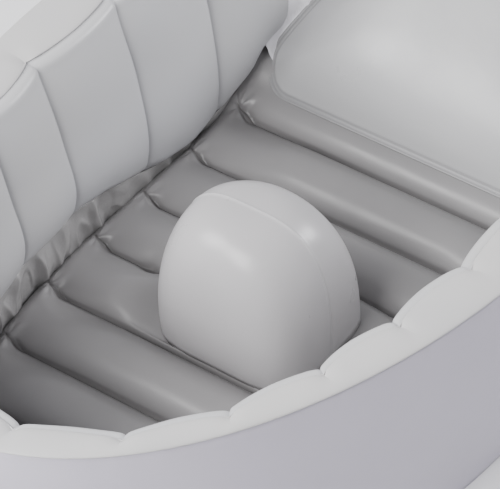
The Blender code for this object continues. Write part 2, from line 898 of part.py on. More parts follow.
def build_drain(sheets, material):
    """The drain seat through both floor sheets, its plug and the plug's strap."""
    x = valleys()[0] - drain_valley_gap - drain_flange_radius
    origin = Vector((x, 0, valley_height))
    frame = frame_at(origin, Vector((0, 1, 0)), Vector((0, 0, 1)))
    tube = drain_bore_radius + drain_wall
    for name in ("floor_top", "floor_bottom"):
        cut_hole(sheets[name], frame, tube + running_gap, 4 * valley_height)
    low = film / 2 + gap
    top = low + drain_flange_thickness
    lathe("drain_seat", [
        (drain_bore_radius, top),
        (drain_flange_radius, top),
        (drain_flange_radius, low),
        (tube, low),
        (tube, film - valley_height),
        (drain_bore_radius, film - valley_height),
    ], material, frame)
    plug_low = top + gap
    spigot = drain_bore_radius - running_gap
    lathe("drain_plug", [
        (0, plug_low - drain_spigot_length),
        (spigot, plug_low - drain_spigot_length),
        (spigot, plug_low),
        (drain_plug_radius, plug_low),
        (drain_plug_radius, plug_low + drain_plug_thickness),
        (0, plug_low + drain_plug_thickness),
    ], material, frame, tab_radius=drain_plug_radius)
    strap("drain_strap", drain_flange_radius + gap, drain_plug_radius + gap, low, plug_low,
          drain_flange_radius + drain_strap_reach, material, frame)


def main():
    """Build the tub."""
    clear_scene()
    film_light = make_material("film_light", (0.60, 0.60, 0.62), 0.45)
    film_outer = make_material("film_outer", (0.48, 0.47, 0.53), 0.42)
    film_dark = make_material("film_dark", (0.29, 0.28, 0.28), 0.40)
    valve_soft = make_material("valve_soft", (0.62, 0.62, 0.64), 0.35)
    valve_clear = make_material("valve_clear", (0.75, 0.76, 0.78), 0.25)
    sheets = {}
    sheets["outer_wall"], outer = build_wall(film_light, film_outer, film_dark)
    sheets["floor_top"], sheets["floor_bottom"] = build_floor(film_dark)
    build_pommel(film_light)
    sheets["backrest_front"] = build_backrest(film_light)
    build_valves(sheets, outer, (valve_soft, valve_clear))
    build_drain(sheets, valve_soft)


main()
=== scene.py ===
"""Looks of an inflatable bath tub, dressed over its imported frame.

The tub is an air-filled wall ring with a scalloped rim, a ribbed air floor, a domed
pommel, a crowned backrest cushion, three air valves and a drain. Every film is made
again here with finer forms: welds, puckers, folds and rolled edges. Metres, +Z up,
+X towards the backrest, origin on the ground under the middle of the tub.
"""
from __future__ import annotations

import json
import logging
import math
from dataclasses import astuple, dataclass, field, replace
from enum import Enum
from typing import ClassVar

import bmesh
import bpy
import numpy as np
from mathutils import Matrix, Vector, noise

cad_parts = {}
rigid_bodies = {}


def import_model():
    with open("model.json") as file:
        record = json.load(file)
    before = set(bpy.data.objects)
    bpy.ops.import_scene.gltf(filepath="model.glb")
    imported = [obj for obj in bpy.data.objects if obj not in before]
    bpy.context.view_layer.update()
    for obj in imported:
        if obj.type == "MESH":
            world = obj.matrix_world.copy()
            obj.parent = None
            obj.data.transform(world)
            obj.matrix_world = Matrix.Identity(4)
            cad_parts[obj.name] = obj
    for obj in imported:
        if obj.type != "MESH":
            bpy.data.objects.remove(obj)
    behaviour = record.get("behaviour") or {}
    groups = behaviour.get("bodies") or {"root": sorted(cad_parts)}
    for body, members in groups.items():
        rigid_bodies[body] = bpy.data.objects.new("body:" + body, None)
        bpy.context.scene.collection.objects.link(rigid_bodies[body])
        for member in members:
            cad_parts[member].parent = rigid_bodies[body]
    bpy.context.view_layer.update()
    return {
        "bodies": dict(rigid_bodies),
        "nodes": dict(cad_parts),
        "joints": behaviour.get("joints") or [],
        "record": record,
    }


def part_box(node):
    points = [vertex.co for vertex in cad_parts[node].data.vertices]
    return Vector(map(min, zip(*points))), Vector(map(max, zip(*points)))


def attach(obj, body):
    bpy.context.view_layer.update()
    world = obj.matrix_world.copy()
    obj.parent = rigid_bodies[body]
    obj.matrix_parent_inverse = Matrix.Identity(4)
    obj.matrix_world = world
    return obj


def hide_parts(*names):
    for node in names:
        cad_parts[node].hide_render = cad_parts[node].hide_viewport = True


LOG = logging.getLogger("tub")
ROOT_BODY = "tub"
Span = tuple[float, float]
Triple = tuple[float, float, float]


class Slot(Enum):
    """Material slots of the record."""

    LIGHT = "film_light"
    OUTER = "film_outer"
    DARK = "film_dark"
    MOULDING = "valve_soft"
    CLEAR = "valve_clear"


# Finishes


@dataclass(frozen=True)
class FilmFinish:
    """A vinyl film: its colour, gloss and the marks of its welds and folds; the colour along the
    weld marks is partly painted light, painted shade in creases and grooves and a painted highlight
    on the pommel's seam lip.
    """

    name: str
    colour: Triple
    tint: Triple
    weld_and_painted_light_colour: Triple
    roughness: float = 0.42
    roughness_spread: float = 0.06
    mottle_scale: float = 9.0
    mottle_span: Span = (0.35, 0.65)
    smear_ratio: float = 2.3
    smear_span: Span = (0.3, 0.7)
    emboss_scale: float = 900.0
    emboss_height: float = 0.00001
    ripple_scale: float = 34.0
    ripple_height: float = 0.0004

    def material(self) -> bpy.types.Material:
        """Build the node material of this film.

        Returns:
            The new material.
        """
        material = bpy.data.materials.new(self.name)
        material.use_nodes = True
        tree = material.node_tree
        shader = tree.nodes["Principled BSDF"]
        place = tree.nodes.new("ShaderNodeTexCoord")
        mottle = self._noise(tree, place, self.mottle_scale, 4.0)
        cloud = self._spread(tree, mottle, self.mottle_span, (0.0, 1.0))
        colour = self._mix(tree, cloud, self.colour, self.tint)
        # Colour along the weld marks: painted shade on the floor's welds and the cushion's flange
        # and grooves, a weld line with painted shade of its groove on the wall, and a painted
        # highlight on the pommel's seam lip.
        weld = tree.nodes.new("ShaderNodeAttribute")
        weld.attribute_name = "weld"
        marked = self._mix(tree, weld.outputs["Fac"], colour, self.weld_and_painted_light_colour)
        tree.links.new(marked, shader.inputs["Base Color"])
        smear = self._noise(tree, place, self.mottle_scale * self.smear_ratio, 6.0)
        rough = self._spread(tree, smear, self.smear_span,
                             (self.roughness - self.roughness_spread,
                              self.roughness + self.roughness_spread))
        tree.links.new(rough, shader.inputs["Roughness"])
        emboss = self._noise(tree, place, self.emboss_scale, 2.0)
        ripple = self._noise(tree, place, self.ripple_scale, 3.0)
        fine = self._bump(tree, emboss, self.emboss_height, None)
        broad = self._bump(tree, ripple, self.ripple_height, fine)
        tree.links.new(broad, shader.inputs["Normal"])
        return material

    @staticmethod
    def _noise(tree: bpy.types.NodeTree, place: bpy.types.Node, scale: float,
               detail: float) -> bpy.types.NodeSocket:
        """Add a noise texture in object space.

        Args:
            tree: Node tree to add to.
            place: Texture coordinate node.
            scale: Features to a metre.
            detail: Octaves.

        Returns:
            The noise value.
        """
        node = tree.nodes.new("ShaderNodeTexNoise")
        node.inputs["Scale"].default_value = scale
        node.inputs["Detail"].default_value = detail
        tree.links.new(place.outputs["Object"], node.inputs["Vector"])
        return node.outputs["Fac"]

    @staticmethod
    def _spread(tree: bpy.types.NodeTree, value: bpy.types.NodeSocket, span: Span,
                becomes: Span) -> bpy.types.NodeSocket:
        """Map a value from one range to another.

        Args:
            tree: Node tree to add to.
            value: The value to map.
            span: Lower and upper end of its range.
            becomes: What the two ends become.

        Returns:
            The mapped value.
        """
        node = tree.nodes.new("ShaderNodeMapRange")
        for name, number in zip(("From Min", "From Max", "To Min", "To Max"), span + becomes):
            node.inputs[name].default_value = number
        tree.links.new(value, node.inputs["Value"])
        return node.outputs["Result"]

    @staticmethod
    def _mix(tree: bpy.types.NodeTree, share: bpy.types.NodeSocket,
             first: Triple | bpy.types.NodeSocket, second: Triple) -> bpy.types.NodeSocket:
        """Mix two colours.

        Args:
            tree: Node tree to add to.
            share: Share of the second colour.
            first: First colour, or where it comes from.
            second: Second colour.

        Returns:
            The mixed colour.
        """
        node = tree.nodes.new("ShaderNodeMix")
        node.data_type = "RGBA"
        tree.links.new(share, node.inputs["Factor"])
        if isinstance(first, tuple):
            node.inputs["A"].default_value = (*first, 1.0)
        else:
            tree.links.new(first, node.inputs["A"])
        node.inputs["B"].default_value = (*second, 1.0)
        return node.outputs["Result"]

    @staticmethod
    def _bump(tree: bpy.types.NodeTree, height: bpy.types.NodeSocket, distance: float,
              normal: bpy.types.NodeSocket | None) -> bpy.types.NodeSocket:
        """Add a bump node.

        Args:
            tree: Node tree to add to.
            height: Height value.
            distance: Height of the relief in metres.
            normal: Normal of a finer bump, if any.

        Returns:
            The bumped normal.
        """
        node = tree.nodes.new("ShaderNodeBump")
        node.inputs["Distance"].default_value = distance
        node.inputs["Strength"].default_value = 1.0
        tree.links.new(height, node.inputs["Height"])
        if normal is not None:
            tree.links.new(normal, node.inputs["Normal"])
        return node.outputs["Normal"]


@dataclass(frozen=True)
class Finishes:
    """Every finish of the tub."""

    # Its weld colour paints the seams greyer: the weld line with painted shade of its groove.
    wall: FilmFinish = FilmFinish(
        "wall_film", (0.60, 0.597, 0.60), (0.565, 0.57, 0.59), (0.47, 0.47, 0.49),
        roughness=0.38, mottle_scale=5.0)
    rim: FilmFinish = FilmFinish(
        "rim_film", (0.60, 0.59, 0.585), (0.57, 0.565, 0.57), (0.52, 0.51, 0.51),
        roughness=0.60, ripple_height=0.0007, ripple_scale=26.0)
    outer: FilmFinish = FilmFinish(
        "outer_film", (0.45, 0.425, 0.50), (0.48, 0.455, 0.53), (0.36, 0.35, 0.40),
        roughness=0.40, mottle_scale=4.0)
    # Its weld colour is nearly black: painted shade of the narrow creases along the weld lines.
    floor: FilmFinish = FilmFinish(
        "floor_film", (0.275, 0.267, 0.270), (0.255, 0.249, 0.252), (0.11, 0.105, 0.105),
        roughness=0.34, ripple_height=0.0003)
    skirt: FilmFinish = FilmFinish(
        "skirt_film", (0.42, 0.412, 0.41), (0.34, 0.333, 0.33), (0.20, 0.195, 0.19),
        roughness=0.19, ripple_scale=70.0, ripple_height=0.0012)
    # Its weld colour is lighter than the film: a painted highlight on the seam lip.
    pommel: FilmFinish = FilmFinish(
        "pommel_film", (0.475, 0.462, 0.472), (0.458, 0.447, 0.457), (0.57, 0.56, 0.57),
        roughness=0.31, mottle_scale=6.0)
    # Its weld colour paints the flange and the grooves darker: painted shade.
    cushion: FilmFinish = FilmFinish(
        "cushion_film", (0.48, 0.48, 0.487), (0.46, 0.462, 0.47), (0.27, 0.268, 0.275),
        roughness=0.33)
    gusset: FilmFinish = FilmFinish(
        "gusset_film", (0.89, 0.88, 0.92), (0.82, 0.81, 0.86), (0.60, 0.59, 0.64),
        roughness=0.24, ripple_scale=60.0, ripple_height=0.0012)
    web: FilmFinish = FilmFinish(
        "web_film", (0.56, 0.56, 0.58), (0.52, 0.52, 0.55), (0.45, 0.45, 0.47))
    moulding: FilmFinish = FilmFinish(
        "valve_moulding", (0.60, 0.60, 0.62), (0.57, 0.57, 0.60), (0.50, 0.50, 0.52),
        roughness=0.30, mottle_scale=60.0, ripple_scale=300.0, ripple_height=0.00005)
    clear: FilmFinish = FilmFinish(
        "flap_film", (0.72, 0.73, 0.75), (0.68, 0.69, 0.72), (0.60, 0.60, 0.62),
        roughness=0.20, mottle_scale=60.0, ripple_scale=300.0, ripple_height=0.00005)


# Shapes that several pieces share


def blend(start: np.ndarray | float, end: np.ndarray | float,
          share: np.ndarray | float) -> np.ndarray | float:
    """Value a share of the way from a start to an end."""
    return start + (end - start) * share


def bell(away: np.ndarray | float, width: np.ndarray | float) -> np.ndarray:
    """1 where nothing is away, falling off smoothly over a width."""
    return np.exp(-(away / width) ** 2)


def quarter(share: np.ndarray, power: float | np.ndarray,
            root: float | np.ndarray | None = None) -> np.ndarray:
    """Height share of a rounded quarter.

    Args:
        share: Place along it, on either side of its middle.
        power: How full it is.
        root: Its root, if other than its power.

    Returns:
        1 at 0, and 0 from 1 on.
    """
    inside = np.clip(1 - np.abs(share) ** power, 0, None)
    return inside ** (1 / (power if root is None else root))


def arch(share: np.ndarray, power: float | np.ndarray = 2.0,
         root: float | np.ndarray | None = None) -> np.ndarray:
    """Height share of an arc between two welds, 1 half way from the first to the second."""
    return quarter(2 * np.asarray(share) - 1, power, root)


def ease(value: np.ndarray, start: float, end: float) -> np.ndarray:
    """Smooth step.

    Args:
        value: Where to read it.
        start: Where it is 0.
        end: Where it is 1.

    Returns:
        From 0 to 1.
    """
    share = np.clip((np.asarray(value, float) - start) / (end - start), 0, 1)
    return share * share * (3 - 2 * share)


@dataclass(frozen=True)
class Crumple:
    """Smooth unevenness of a film: its height, its features to a metre and its seed."""

    height: float
    scale: Triple
    seed: float

    def at(self, points: np.ndarray) -> np.ndarray:
        """Heights at points.

        Args:
            points: Array whose last axis is x, y, z.

        Returns:
            Values from about minus the height to the height.
        """
        flat = points.reshape(-1, 3) * np.array(self.scale) + self.seed
        values = np.array([noise.noise(Vector(point)) for point in flat])
        return self.height * values.reshape(points.shape[:-1])


def smooth_rows(rows: np.ndarray, steps: int) -> np.ndarray:
    """Pass a smooth curve down each column of a coarse grid.

    Args:
        rows: Array of shape (rows, columns, 3).
        steps: New rows for each old one.

    Returns:
        The finer grid, which holds the old rows.
    """
    ends = np.concatenate((2 * rows[:1] - rows[1:2], rows, 2 * rows[-1:] - rows[-2:-1]))
    fine = []
    for index in range(len(rows) - 1):
        before, start, end, after = ends[index:index + 4]
        span = np.linalg.norm(end - start, axis=-1, keepdims=True)
        first = np.linalg.norm(start - before, axis=-1, keepdims=True)
        last = np.linalg.norm(after - end, axis=-1, keepdims=True)
        leave = ((start - before) / first * span + (end - start) / span * first) / (first + span)
        arrive = ((end - start) / span * last + (after - end) / last * span) / (span + last)
        for step in range(steps):
            t = step / steps
            near = 2 * t ** 3 - 3 * t ** 2 + 1
            turn = (t ** 3 - 2 * t ** 2 + t) * leave + (t ** 3 - t ** 2) * arrive
            fine.append(near * start + (1 - near) * end + turn * span)
    fine.append(rows[-1])
    return np.array(fine)


def normals_of(grid: np.ndarray, closed: bool) -> np.ndarray:
    """Unit normals of a grid surface.

    Args:
        grid: Array of shape (rows, columns, 3).
        closed: Whether the last column joins the first.

    Returns:
        An array of the same shape.
    """
    down = np.gradient(grid, axis=0)
    if closed:
        across = (np.roll(grid, -1, axis=1) - np.roll(grid, 1, axis=1)) / 2
    else:
        across = np.gradient(grid, axis=1)
    found = np.cross(down, across)
    return found / np.maximum(np.linalg.norm(found, axis=-1, keepdims=True), 1e-12)


def outward_of(grid: np.ndarray) -> np.ndarray:
    """Unit normals of a closed ring of film, away from the middle of the tub.

    Args:
        grid: Array of shape (rows, columns, 3).

    Returns:
        An array of the same shape.
    """
    found = normals_of(grid, True)
    return found * np.sign((found * grid * np.array((1, 1, 0))).sum(-1, keepdims=True))


@dataclass
class Film:
    """A film made from a grid of points."""

    name: str
    grid: np.ndarray
    closed: bool = False
    weld: np.ndarray | None = None
    thickness: float = 0.0005

    def make(self, material: bpy.types.Material, body: str = ROOT_BODY,
             replaced: tuple[str, ...] = ()) -> bpy.types.Object:
        """Build the film and put it on its body.

        Args:
            material: Its finish.
            body: The body that it rides on.
            replaced: Nodes that it stands for.

        Returns:
            The new object.
        """
        rows, columns = self.grid.shape[:2]
        mesh = bpy.data.meshes.new(self.name)
        index = np.arange(rows * columns).reshape(rows, columns)
        wide = np.concatenate((index, index[:, :1]), axis=1) if self.closed else index
        faces = np.stack((wide[:-1, :-1], wide[:-1, 1:], wide[1:, 1:], wide[1:, :-1]), axis=-1)
        mesh.from_pydata(self.grid.reshape(-1, 3).tolist(), [], faces.reshape(-1, 4).tolist())
        mesh.shade_smooth()
        mark = mesh.attributes.new("weld", "FLOAT", "POINT")
        weld = np.zeros((rows, columns)) if self.weld is None else self.weld
        mark.data.foreach_set("value", weld.astype(np.float32).ravel())
        obj = bpy.data.objects.new(self.name, mesh)
        bpy.context.scene.collection.objects.link(obj)
        obj.data.materials.append(material)
        solid = obj.modifiers.new("film", "SOLIDIFY")
        solid.thickness = self.thickness
        solid.offset = 0.0
        return place_on_body(obj, body, replaced)


def place_on_body(obj: bpy.types.Object, body: str,
                  replaced: tuple[str, ...]) -> bpy.types.Object:
    """Put a finished object on its body.

    Args:
        obj: The object.
        body: The body that it rides on.
        replaced: Nodes that it stands for.

    Returns:
        The same object.
    """
    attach(obj, body)
    if replaced:
        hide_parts(*replaced)
    LOG.info("%s: %d vertices", obj.name, len(obj.data.vertices))
    return obj


@dataclass(frozen=True)
class PlanCurve:
    """A closed plan curve whose foot and head ends have their own squareness."""

    length: float
    width: float
    foot_power: float
    head_power: float
    steps: ClassVar[int] = 2881
    direction_share: ClassVar[float] = 1 / 700

    def inset(self, end: float, side: float) -> PlanCurve:
        """Return the curve drawn in at its ends and its sides."""
        return PlanCurve(self.length - end, self.width - side, self.foot_power, self.head_power)

    def power_at(self, x: np.ndarray) -> np.ndarray:
        """How square the curve is at places along the tub."""
        return np.where(x < 0, self.foot_power, self.head_power)

    def walk(self, shares: np.ndarray) -> tuple[np.ndarray, np.ndarray]:
        """Points and outward directions at shares of its length.

        Args:
            shares: Shares of the way round from the head end.

        Returns:
            Points and directions, each of shape (count, 2).
        """
        turns = np.linspace(0, 2 * math.pi, self.steps)
        cosines, sines = np.cos(turns), np.sin(turns)
        power = self.power_at(cosines)
        xs = self.length * np.sign(cosines) * np.abs(cosines) ** (2 / power)
        ys = self.width * np.sign(sines) * np.abs(sines) ** (2 / power)
        way = np.concatenate(([0], np.cumsum(np.hypot(np.diff(xs), np.diff(ys)))))
        step = way[-1] * self.direction_share
        place = (shares % 1) * way[-1]
        ahead, behind = (place + step) % way[-1], (place - step) % way[-1]
        dx = np.interp(ahead, way, xs) - np.interp(behind, way, xs)
        dy = np.interp(ahead, way, ys) - np.interp(behind, way, ys)
        size = np.hypot(dx, dy)
        points = np.stack((np.interp(place, way, xs), np.interp(place, way, ys)), axis=-1)
        return points, np.stack((dy / size, -dx / size), axis=-1)

    def half_width(self, x: np.ndarray) -> np.ndarray:
        """Half width at places along the tub, 0 beyond the ends."""
        x = np.asarray(x, float)
        return self.width * quarter(x / self.length, self.power_at(x))

    def head_reach(self, y: np.ndarray) -> np.ndarray:
        """How far the curve reaches to the head end, at places across the tub."""
        return self.length * quarter(y / self.width, self.head_power)

    def share_at(self, x: np.ndarray, y: np.ndarray) -> np.ndarray:
        """1 on the curve, less inside it."""
        power = self.power_at(x)
        return ((np.abs(x) / self.length) ** power
                + (np.abs(y) / self.width) ** power) ** (1 / power)


@dataclass(frozen=True)
class TubPlan:
    """Sizes that the wall, the floor and the backrest share."""

    film: float = 0.0005
    gap: float = 0.0003
    rim_half_length: float = 0.470
    rim_half_width: float = 0.268
    rim_foot_power: float = 2.0
    rim_head_power: float = 2.7
    inner_foot_power: float = 2.3
    inner_head_power: float = 3.0
    waist_head_power: float = 4.5
    wall_height: float = 0.240
    rim_crown: float = 0.004
    rim_side_width: float = 0.035
    rim_end_width: float = 0.027
    rim_roll: float = 0.014
    wall_side_lean: float = 0.027
    wall_end_lean: float = 0.017
    middle_share: float = 1 / 3
    waist_rise: float = 0.020
    weld_tuck: float = 0.007
    skirt_foot_height: float = 0.062
    skirt_places: tuple[float, ...] = (-0.060, -0.018, 0.025, 0.068, 0.110, 0.160, 0.200,
                                       0.216, 0.236, 0.250, 0.290)
    skirt_heights: tuple[float, ...] = (0.062, 0.0561, 0.0430, 0.0299, 0.0250, 0.0320, 0.0480,
                                        0.0640, 0.0700, 0.0680, 0.0580)

    def rim_outer(self) -> PlanCurve:
        """Outer edge of the rim."""
        return PlanCurve(self.rim_half_length, self.rim_half_width, self.rim_foot_power,
                         self.rim_head_power)

    def rim_inner(self) -> PlanCurve:
        """Inner edge of the rim, through its seams."""
        ring = PlanCurve(self.rim_half_length, self.rim_half_width, self.inner_foot_power,
                         self.inner_head_power)
        return ring.inset(self.rim_end_width, self.rim_side_width)

    def wall_top(self) -> PlanCurve:
        """Top of the inner wall's panels, below the rolled edge."""
        return self.rim_inner().inset(self.rim_roll, self.rim_roll)

    def waist(self) -> PlanCurve:
        """The narrowest ring of the inner wall."""
        ring = self.wall_top().inset(self.wall_end_lean, self.wall_side_lean)
        return replace(ring, head_power=self.waist_head_power)

    def leaning(self, share: float) -> PlanCurve:
        """Ring of the inner wall part of the way from its waist to its top."""
        low, high = astuple(self.waist()), astuple(self.wall_top())
        return PlanCurve(*[blend(start, end, share) for start, end in zip(low, high)])

    def skirt(self) -> PlanCurve:
        """The skirt and the wall's lower weld."""
        return self.waist().inset(-self.weld_tuck, -self.weld_tuck)

    def skirt_top(self, x: np.ndarray) -> np.ndarray:
        """Height of the weld between the wall panels and the skirt."""
        return np.interp(x, self.skirt_places, self.skirt_heights)

    @property
    def rim_weld(self) -> float:
        """Height of the rim band's two edges."""
        return self.wall_height - self.rim_crown - self.film / 2

    @property
    def lap(self) -> float:
        """Height of the wall films under the rim band."""
        return self.rim_weld - self.film - self.gap

    @property
    def panel_top(self) -> float:
        """Height of the top of the wall's panels."""
        return self.rim_weld - self.rim_roll

    @property
    def middle_height(self) -> float:
        """Height of the ring at the middle share of the inner wall's lean."""
        return (self.rim_weld + self.skirt_foot_height) / 2


# The wall ring


@dataclass
class AirWall:
    """The wall ring: inner and outer films, rim band, base ring, skirt and webs."""

    plan: TubPlan
    finishes: Finishes
    seam_shares: tuple[float, ...] = (0.028, 0.080, 0.132, 0.1875, 0.2395, 0.2915, 0.3312, 0.3676,
                                      0.4060, 0.4440, 0.482)
    columns_per_panel: int = 28
    crowding: float = 0.88
    panel_length: float = 0.115
    scallop: float = 0.009
    scallop_power: float = 1.75
    scallop_root: float = 1.45
    waist_draw: float = 0.002
    base_inset: float = 0.022
    swell: float = 0.006
    rim_tuck: float = 0.0015
    tuck_share: float = 0.05
    tuck_start_share: float = 0.02
    rim_reach: float = 0.0045
    rim_end_reach: float = 0.003
    top_reach_share: float = 0.75
    top_end_reach: float = 0.002
    rim_foot_power: float = 1.93
    crown_root: float = 1.7
    seam_width: float = 0.0030
    seam_depth: float = 0.0006
    seam_weld_and_light_tone: float = 0.5
    pucker_width: float = 0.016
    pucker_shares: Span = (0.16, 0.12)
    seam_pucker: Crumple = Crumple(0.0007, (90, 90, 45), 3.1)
    panel_drift: Crumple = Crumple(0.0006, (11, 11, 9), 8.4)
    fold_depth: float = 0.0028
    fold_widths: Span = (0.006, 0.018)
    fold_power: float = 1.2
    fold_start_share: float = 1 / 12
    rim_drift: Crumple = Crumple(0.0006, (32, 32, 0), 5.7)
    outer_ripple: Crumple = Crumple(0.0005, (14, 14, 10), 1.3)
    outer_pucker: Crumple = Crumple(0.0005, (110, 110, 20), 2.2)
    skirt_columns: int = 76
    skirt_lean: float = 0.35
    skirt_fold: Crumple = Crumple(3.2, (26, 26, 15), 6.1)
    skirt_cross: Crumple = Crumple(3.0, (52, 52, 30), 1.9)
    skirt_depths: Triple = (0.0010, 0.0046, 0.0016)
    skirt_reach: Span = (-0.001, 0.0068)
    full_skirt: float = 0.050
    slack_shares: Span = (0.25, 1.1)
    web_span: Span = (0.105, 0.226)
    web_inset_share: float = 0.004
    web_steps: int = 12
    web_sag: Triple = (0.0020, 0.0008, 0.0)
    shares: np.ndarray = field(init=False)
    between: np.ndarray = field(init=False)
    inner_grid: np.ndarray = field(init=False)
    outer_grid: np.ndarray = field(init=False)

    def __post_init__(self) -> None:
        """Lay out the columns, close together at the seams."""
        seams = list(self.seam_shares) + [1 - share for share in reversed(self.seam_shares)]
        steps = np.linspace(0, 1, self.columns_per_panel, endpoint=False)
        steps = steps - self.crowding * np.sin(2 * math.pi * steps) / (2 * math.pi)
        shares, between = [], []
        for start, end in zip(seams, seams[1:] + [seams[0] + 1]):
            shares.extend(blend(start, end, steps))
            between.extend(steps)
        self.shares, self.between = np.array(shares), np.array(between)

    @property
    def from_seam(self) -> np.ndarray:
        """How far each column is from the nearest seam."""
        return np.minimum(self.between, 1 - self.between) * self.panel_length

    def row(self, ring: PlanCurve, height: np.ndarray | float, bulge: float) -> np.ndarray:
        """One ring of points, bulging inwards between seams.

        Args:
            ring: Its plan curve.
            height: Its height, or a height for each point.
            bulge: How far its panels bulge.

        Returns:
            Array of shape (columns, 3).
        """
        points, outward = ring.walk(self.shares)
        push = bulge * arch(self.between, self.scallop_power, self.scallop_root)
        flat = points - outward * push[:, None]
        tall = np.broadcast_to(np.asarray(height, float), push.shape)
        return np.concatenate((flat, tall[:, None]), axis=1)

    def inner_rows(self) -> np.ndarray:
        """Coarse rows of the inner wall, from its lower weld to its lap under the rim.

        Returns:
            Array of shape (rows, columns, 3).
        """
        plan, edge, waist = self.plan, self.rim_edge(), self.plan.waist()
        top = plan.wall_top().inset(self.top_end_reach, self.rim_reach * self.top_reach_share)
        drop = plan.rim_roll * math.cos(math.pi / 4)
        weld_height = plan.skirt_top(plan.skirt().walk(self.shares)[0][:, 0])
        waist_height = plan.skirt_top(waist.walk(self.shares)[0][:, 0])
        return np.array([
            self.row(plan.skirt(), weld_height + plan.gap, 0.0),
            self.row(waist.inset(-self.waist_draw, -self.waist_draw),
                     waist_height + plan.waist_rise / 2, self.scallop / 2),
            self.row(waist, waist_height + plan.waist_rise, self.scallop * 2 / 3),
            self.row(plan.leaning(plan.middle_share), plan.middle_height, self.scallop),
            self.row(top, plan.panel_top, self.scallop),
            self.row(edge.inset(drop, drop),
                     plan.panel_top + drop - plan.film - plan.gap, self.scallop),
            self.row(edge.inset(-plan.weld_tuck, -plan.weld_tuck), plan.lap, 0.0),
        ])

    def rim_edge(self) -> PlanCurve:
        """Inner edge of the rim band, through its seams."""
        return self.plan.rim_inner().inset(self.rim_end_reach, self.rim_reach)

    def build_inner(self, frame: dict) -> None:
        """The inner wall, with grooved seams and small puckers at their ends. The seams are painted
        greyer: partly the weld line itself, partly painted shade in its groove.
        """
        grid = smooth_rows(self.inner_rows(), 9)
        mark = np.broadcast_to(bell(self.from_seam, self.seam_width), grid.shape[:2])
        height = (grid[..., 2] - grid[0, :, 2]) / (self.plan.wall_height - grid[0, :, 2])
        ends = bell(height, self.pucker_shares[0]) + bell(1 - height, self.pucker_shares[1])
        pucker = self.seam_pucker.at(grid) * bell(self.from_seam, self.pucker_width) * ends
        drift = self.panel_drift.at(grid) * np.sin(math.pi * self.between)
        proud = self.seam_depth * mark + pucker + drift
        self.inner_grid = grid + outward_of(grid) * proud[..., None]
        lengths = tuple(name for name in frame["nodes"] if name.startswith("inner_wall"))
        # Seam colour: the grey weld line together with painted shade of its shallow groove.
        Film("inner_wall_film", self.inner_grid, True, mark * self.seam_weld_and_light_tone).make(
            self.finishes.wall.material(), replaced=lengths)

    def build_rim(self) -> None:
        """The rim band, with a rolled inner edge and soft folds from each seam."""
        plan = self.plan
        inner = self.row(self.rim_edge(), plan.rim_weld, self.scallop)
        outer = self.row(self.rim_outer(1.0), plan.rim_weld, 0.0)
        shares = np.concatenate(([0, 0.012, 0.03], np.linspace(0.06, 0.94, 16), [0.975, 1.0]))
        grid = blend(inner, outer, shares[:, None, None])
        grid[..., 2] += plan.rim_crown * arch(shares, 2.0, self.crown_root)[:, None]
        across = np.linspace(0, 1, len(grid))[:, None]
        fold = bell(self.from_seam, blend(*self.fold_widths, across))
        fold = fold * (1 - across) ** self.fold_power
        grid[..., 2] -= self.fold_depth * fold * np.minimum(across / self.fold_start_share, 1)
        grid[..., 2] += self.rim_drift.at(grid) * np.sin(math.pi * across)
        grid[..., 2] = np.minimum(grid[..., 2], plan.wall_height)
        Film("rim_film_band", grid, True).make(
            self.finishes.rim.material(), replaced=("rim_band",))

    def rim_outer(self, share: float) -> PlanCurve:
        """Outer ring of the tub, a little more pointed at the rim's foot end than at the ground.

        Args:
            share: Place up the wall, 1 at the rim.

        Returns:
            The ring there, as wide and long as the rim.
        """
        ring = self.plan.rim_outer()
        return replace(ring, foot_power=blend(ring.foot_power, self.rim_foot_power, share))

    def build_outer(self) -> None:
        """The outer wall, tucked in under the rim and full at two thirds of its height."""
        plan = self.plan
        low, high = plan.film * 1.5 + plan.gap, plan.lap + plan.film / 2
        rows = []
        for share in np.linspace(0, 1, 46):
            bow = 27 / 4 * share * share * (1 - share)
            tuck = bell(1 - share, self.tuck_share) * min((1 - share) / self.tuck_start_share, 1)
            drawn = (self.base_inset * (1 - share) ** 2 - self.swell * bow + plan.film * share
                     + self.rim_tuck * tuck)
            rows.append(self.row(self.rim_outer(share).inset(drawn, drawn),
                                 blend(low, high, share), 0.0))
        grid = np.array(rows)
        share = np.linspace(0, 1, len(grid))[:, None]
        ripple = self.outer_ripple.at(grid) * np.sin(math.pi * share)
        pucker = self.outer_pucker.at(grid) * bell(1 - share, self.tuck_share)
        self.outer_grid = grid + outward_of(grid) * (ripple + pucker)[..., None]
        Film("outer_wall_film", self.outer_grid, True).make(
            self.finishes.outer.material(), replaced=("outer_wall",))

    def build_skirt(self) -> None:
        """The skirt between the wall's lower weld and the floor, in loose folds."""
        ring = self.plan.skirt()
        fine = replace(self, columns_per_panel=self.skirt_columns, crowding=0.0)
        top = self.plan.skirt_top(ring.walk(fine.shares)[0][:, 0])
        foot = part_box("wall_skirt")[0].z
        shares = np.linspace(0, 1, 40)
        grid = np.array([fine.row(ring, blend(foot, top, share), 0.0) for share in shares])
        window = np.sqrt(np.clip(np.sin(math.pi * shares), 0, None))[:, None]
        slack = np.clip((top - foot) / self.full_skirt, *self.slack_shares)
        leaning = grid + np.array((0, 0, self.skirt_lean)) * (grid[..., :1] + grid[..., 1:2])
        folds = 1 - np.abs(self.skirt_fold.at(leaning))
        cross = 1 - np.abs(self.skirt_cross.at(leaning))
        even, folded, crossed = self.skirt_depths
        inward = window * (even + folded * folds + crossed * cross) * slack
        grid = grid - outward_of(grid) * np.clip(inward, *self.skirt_reach)[..., None]
        Film("skirt_film", grid, True).make(
            self.finishes.skirt.material(), replaced=("wall_skirt",))

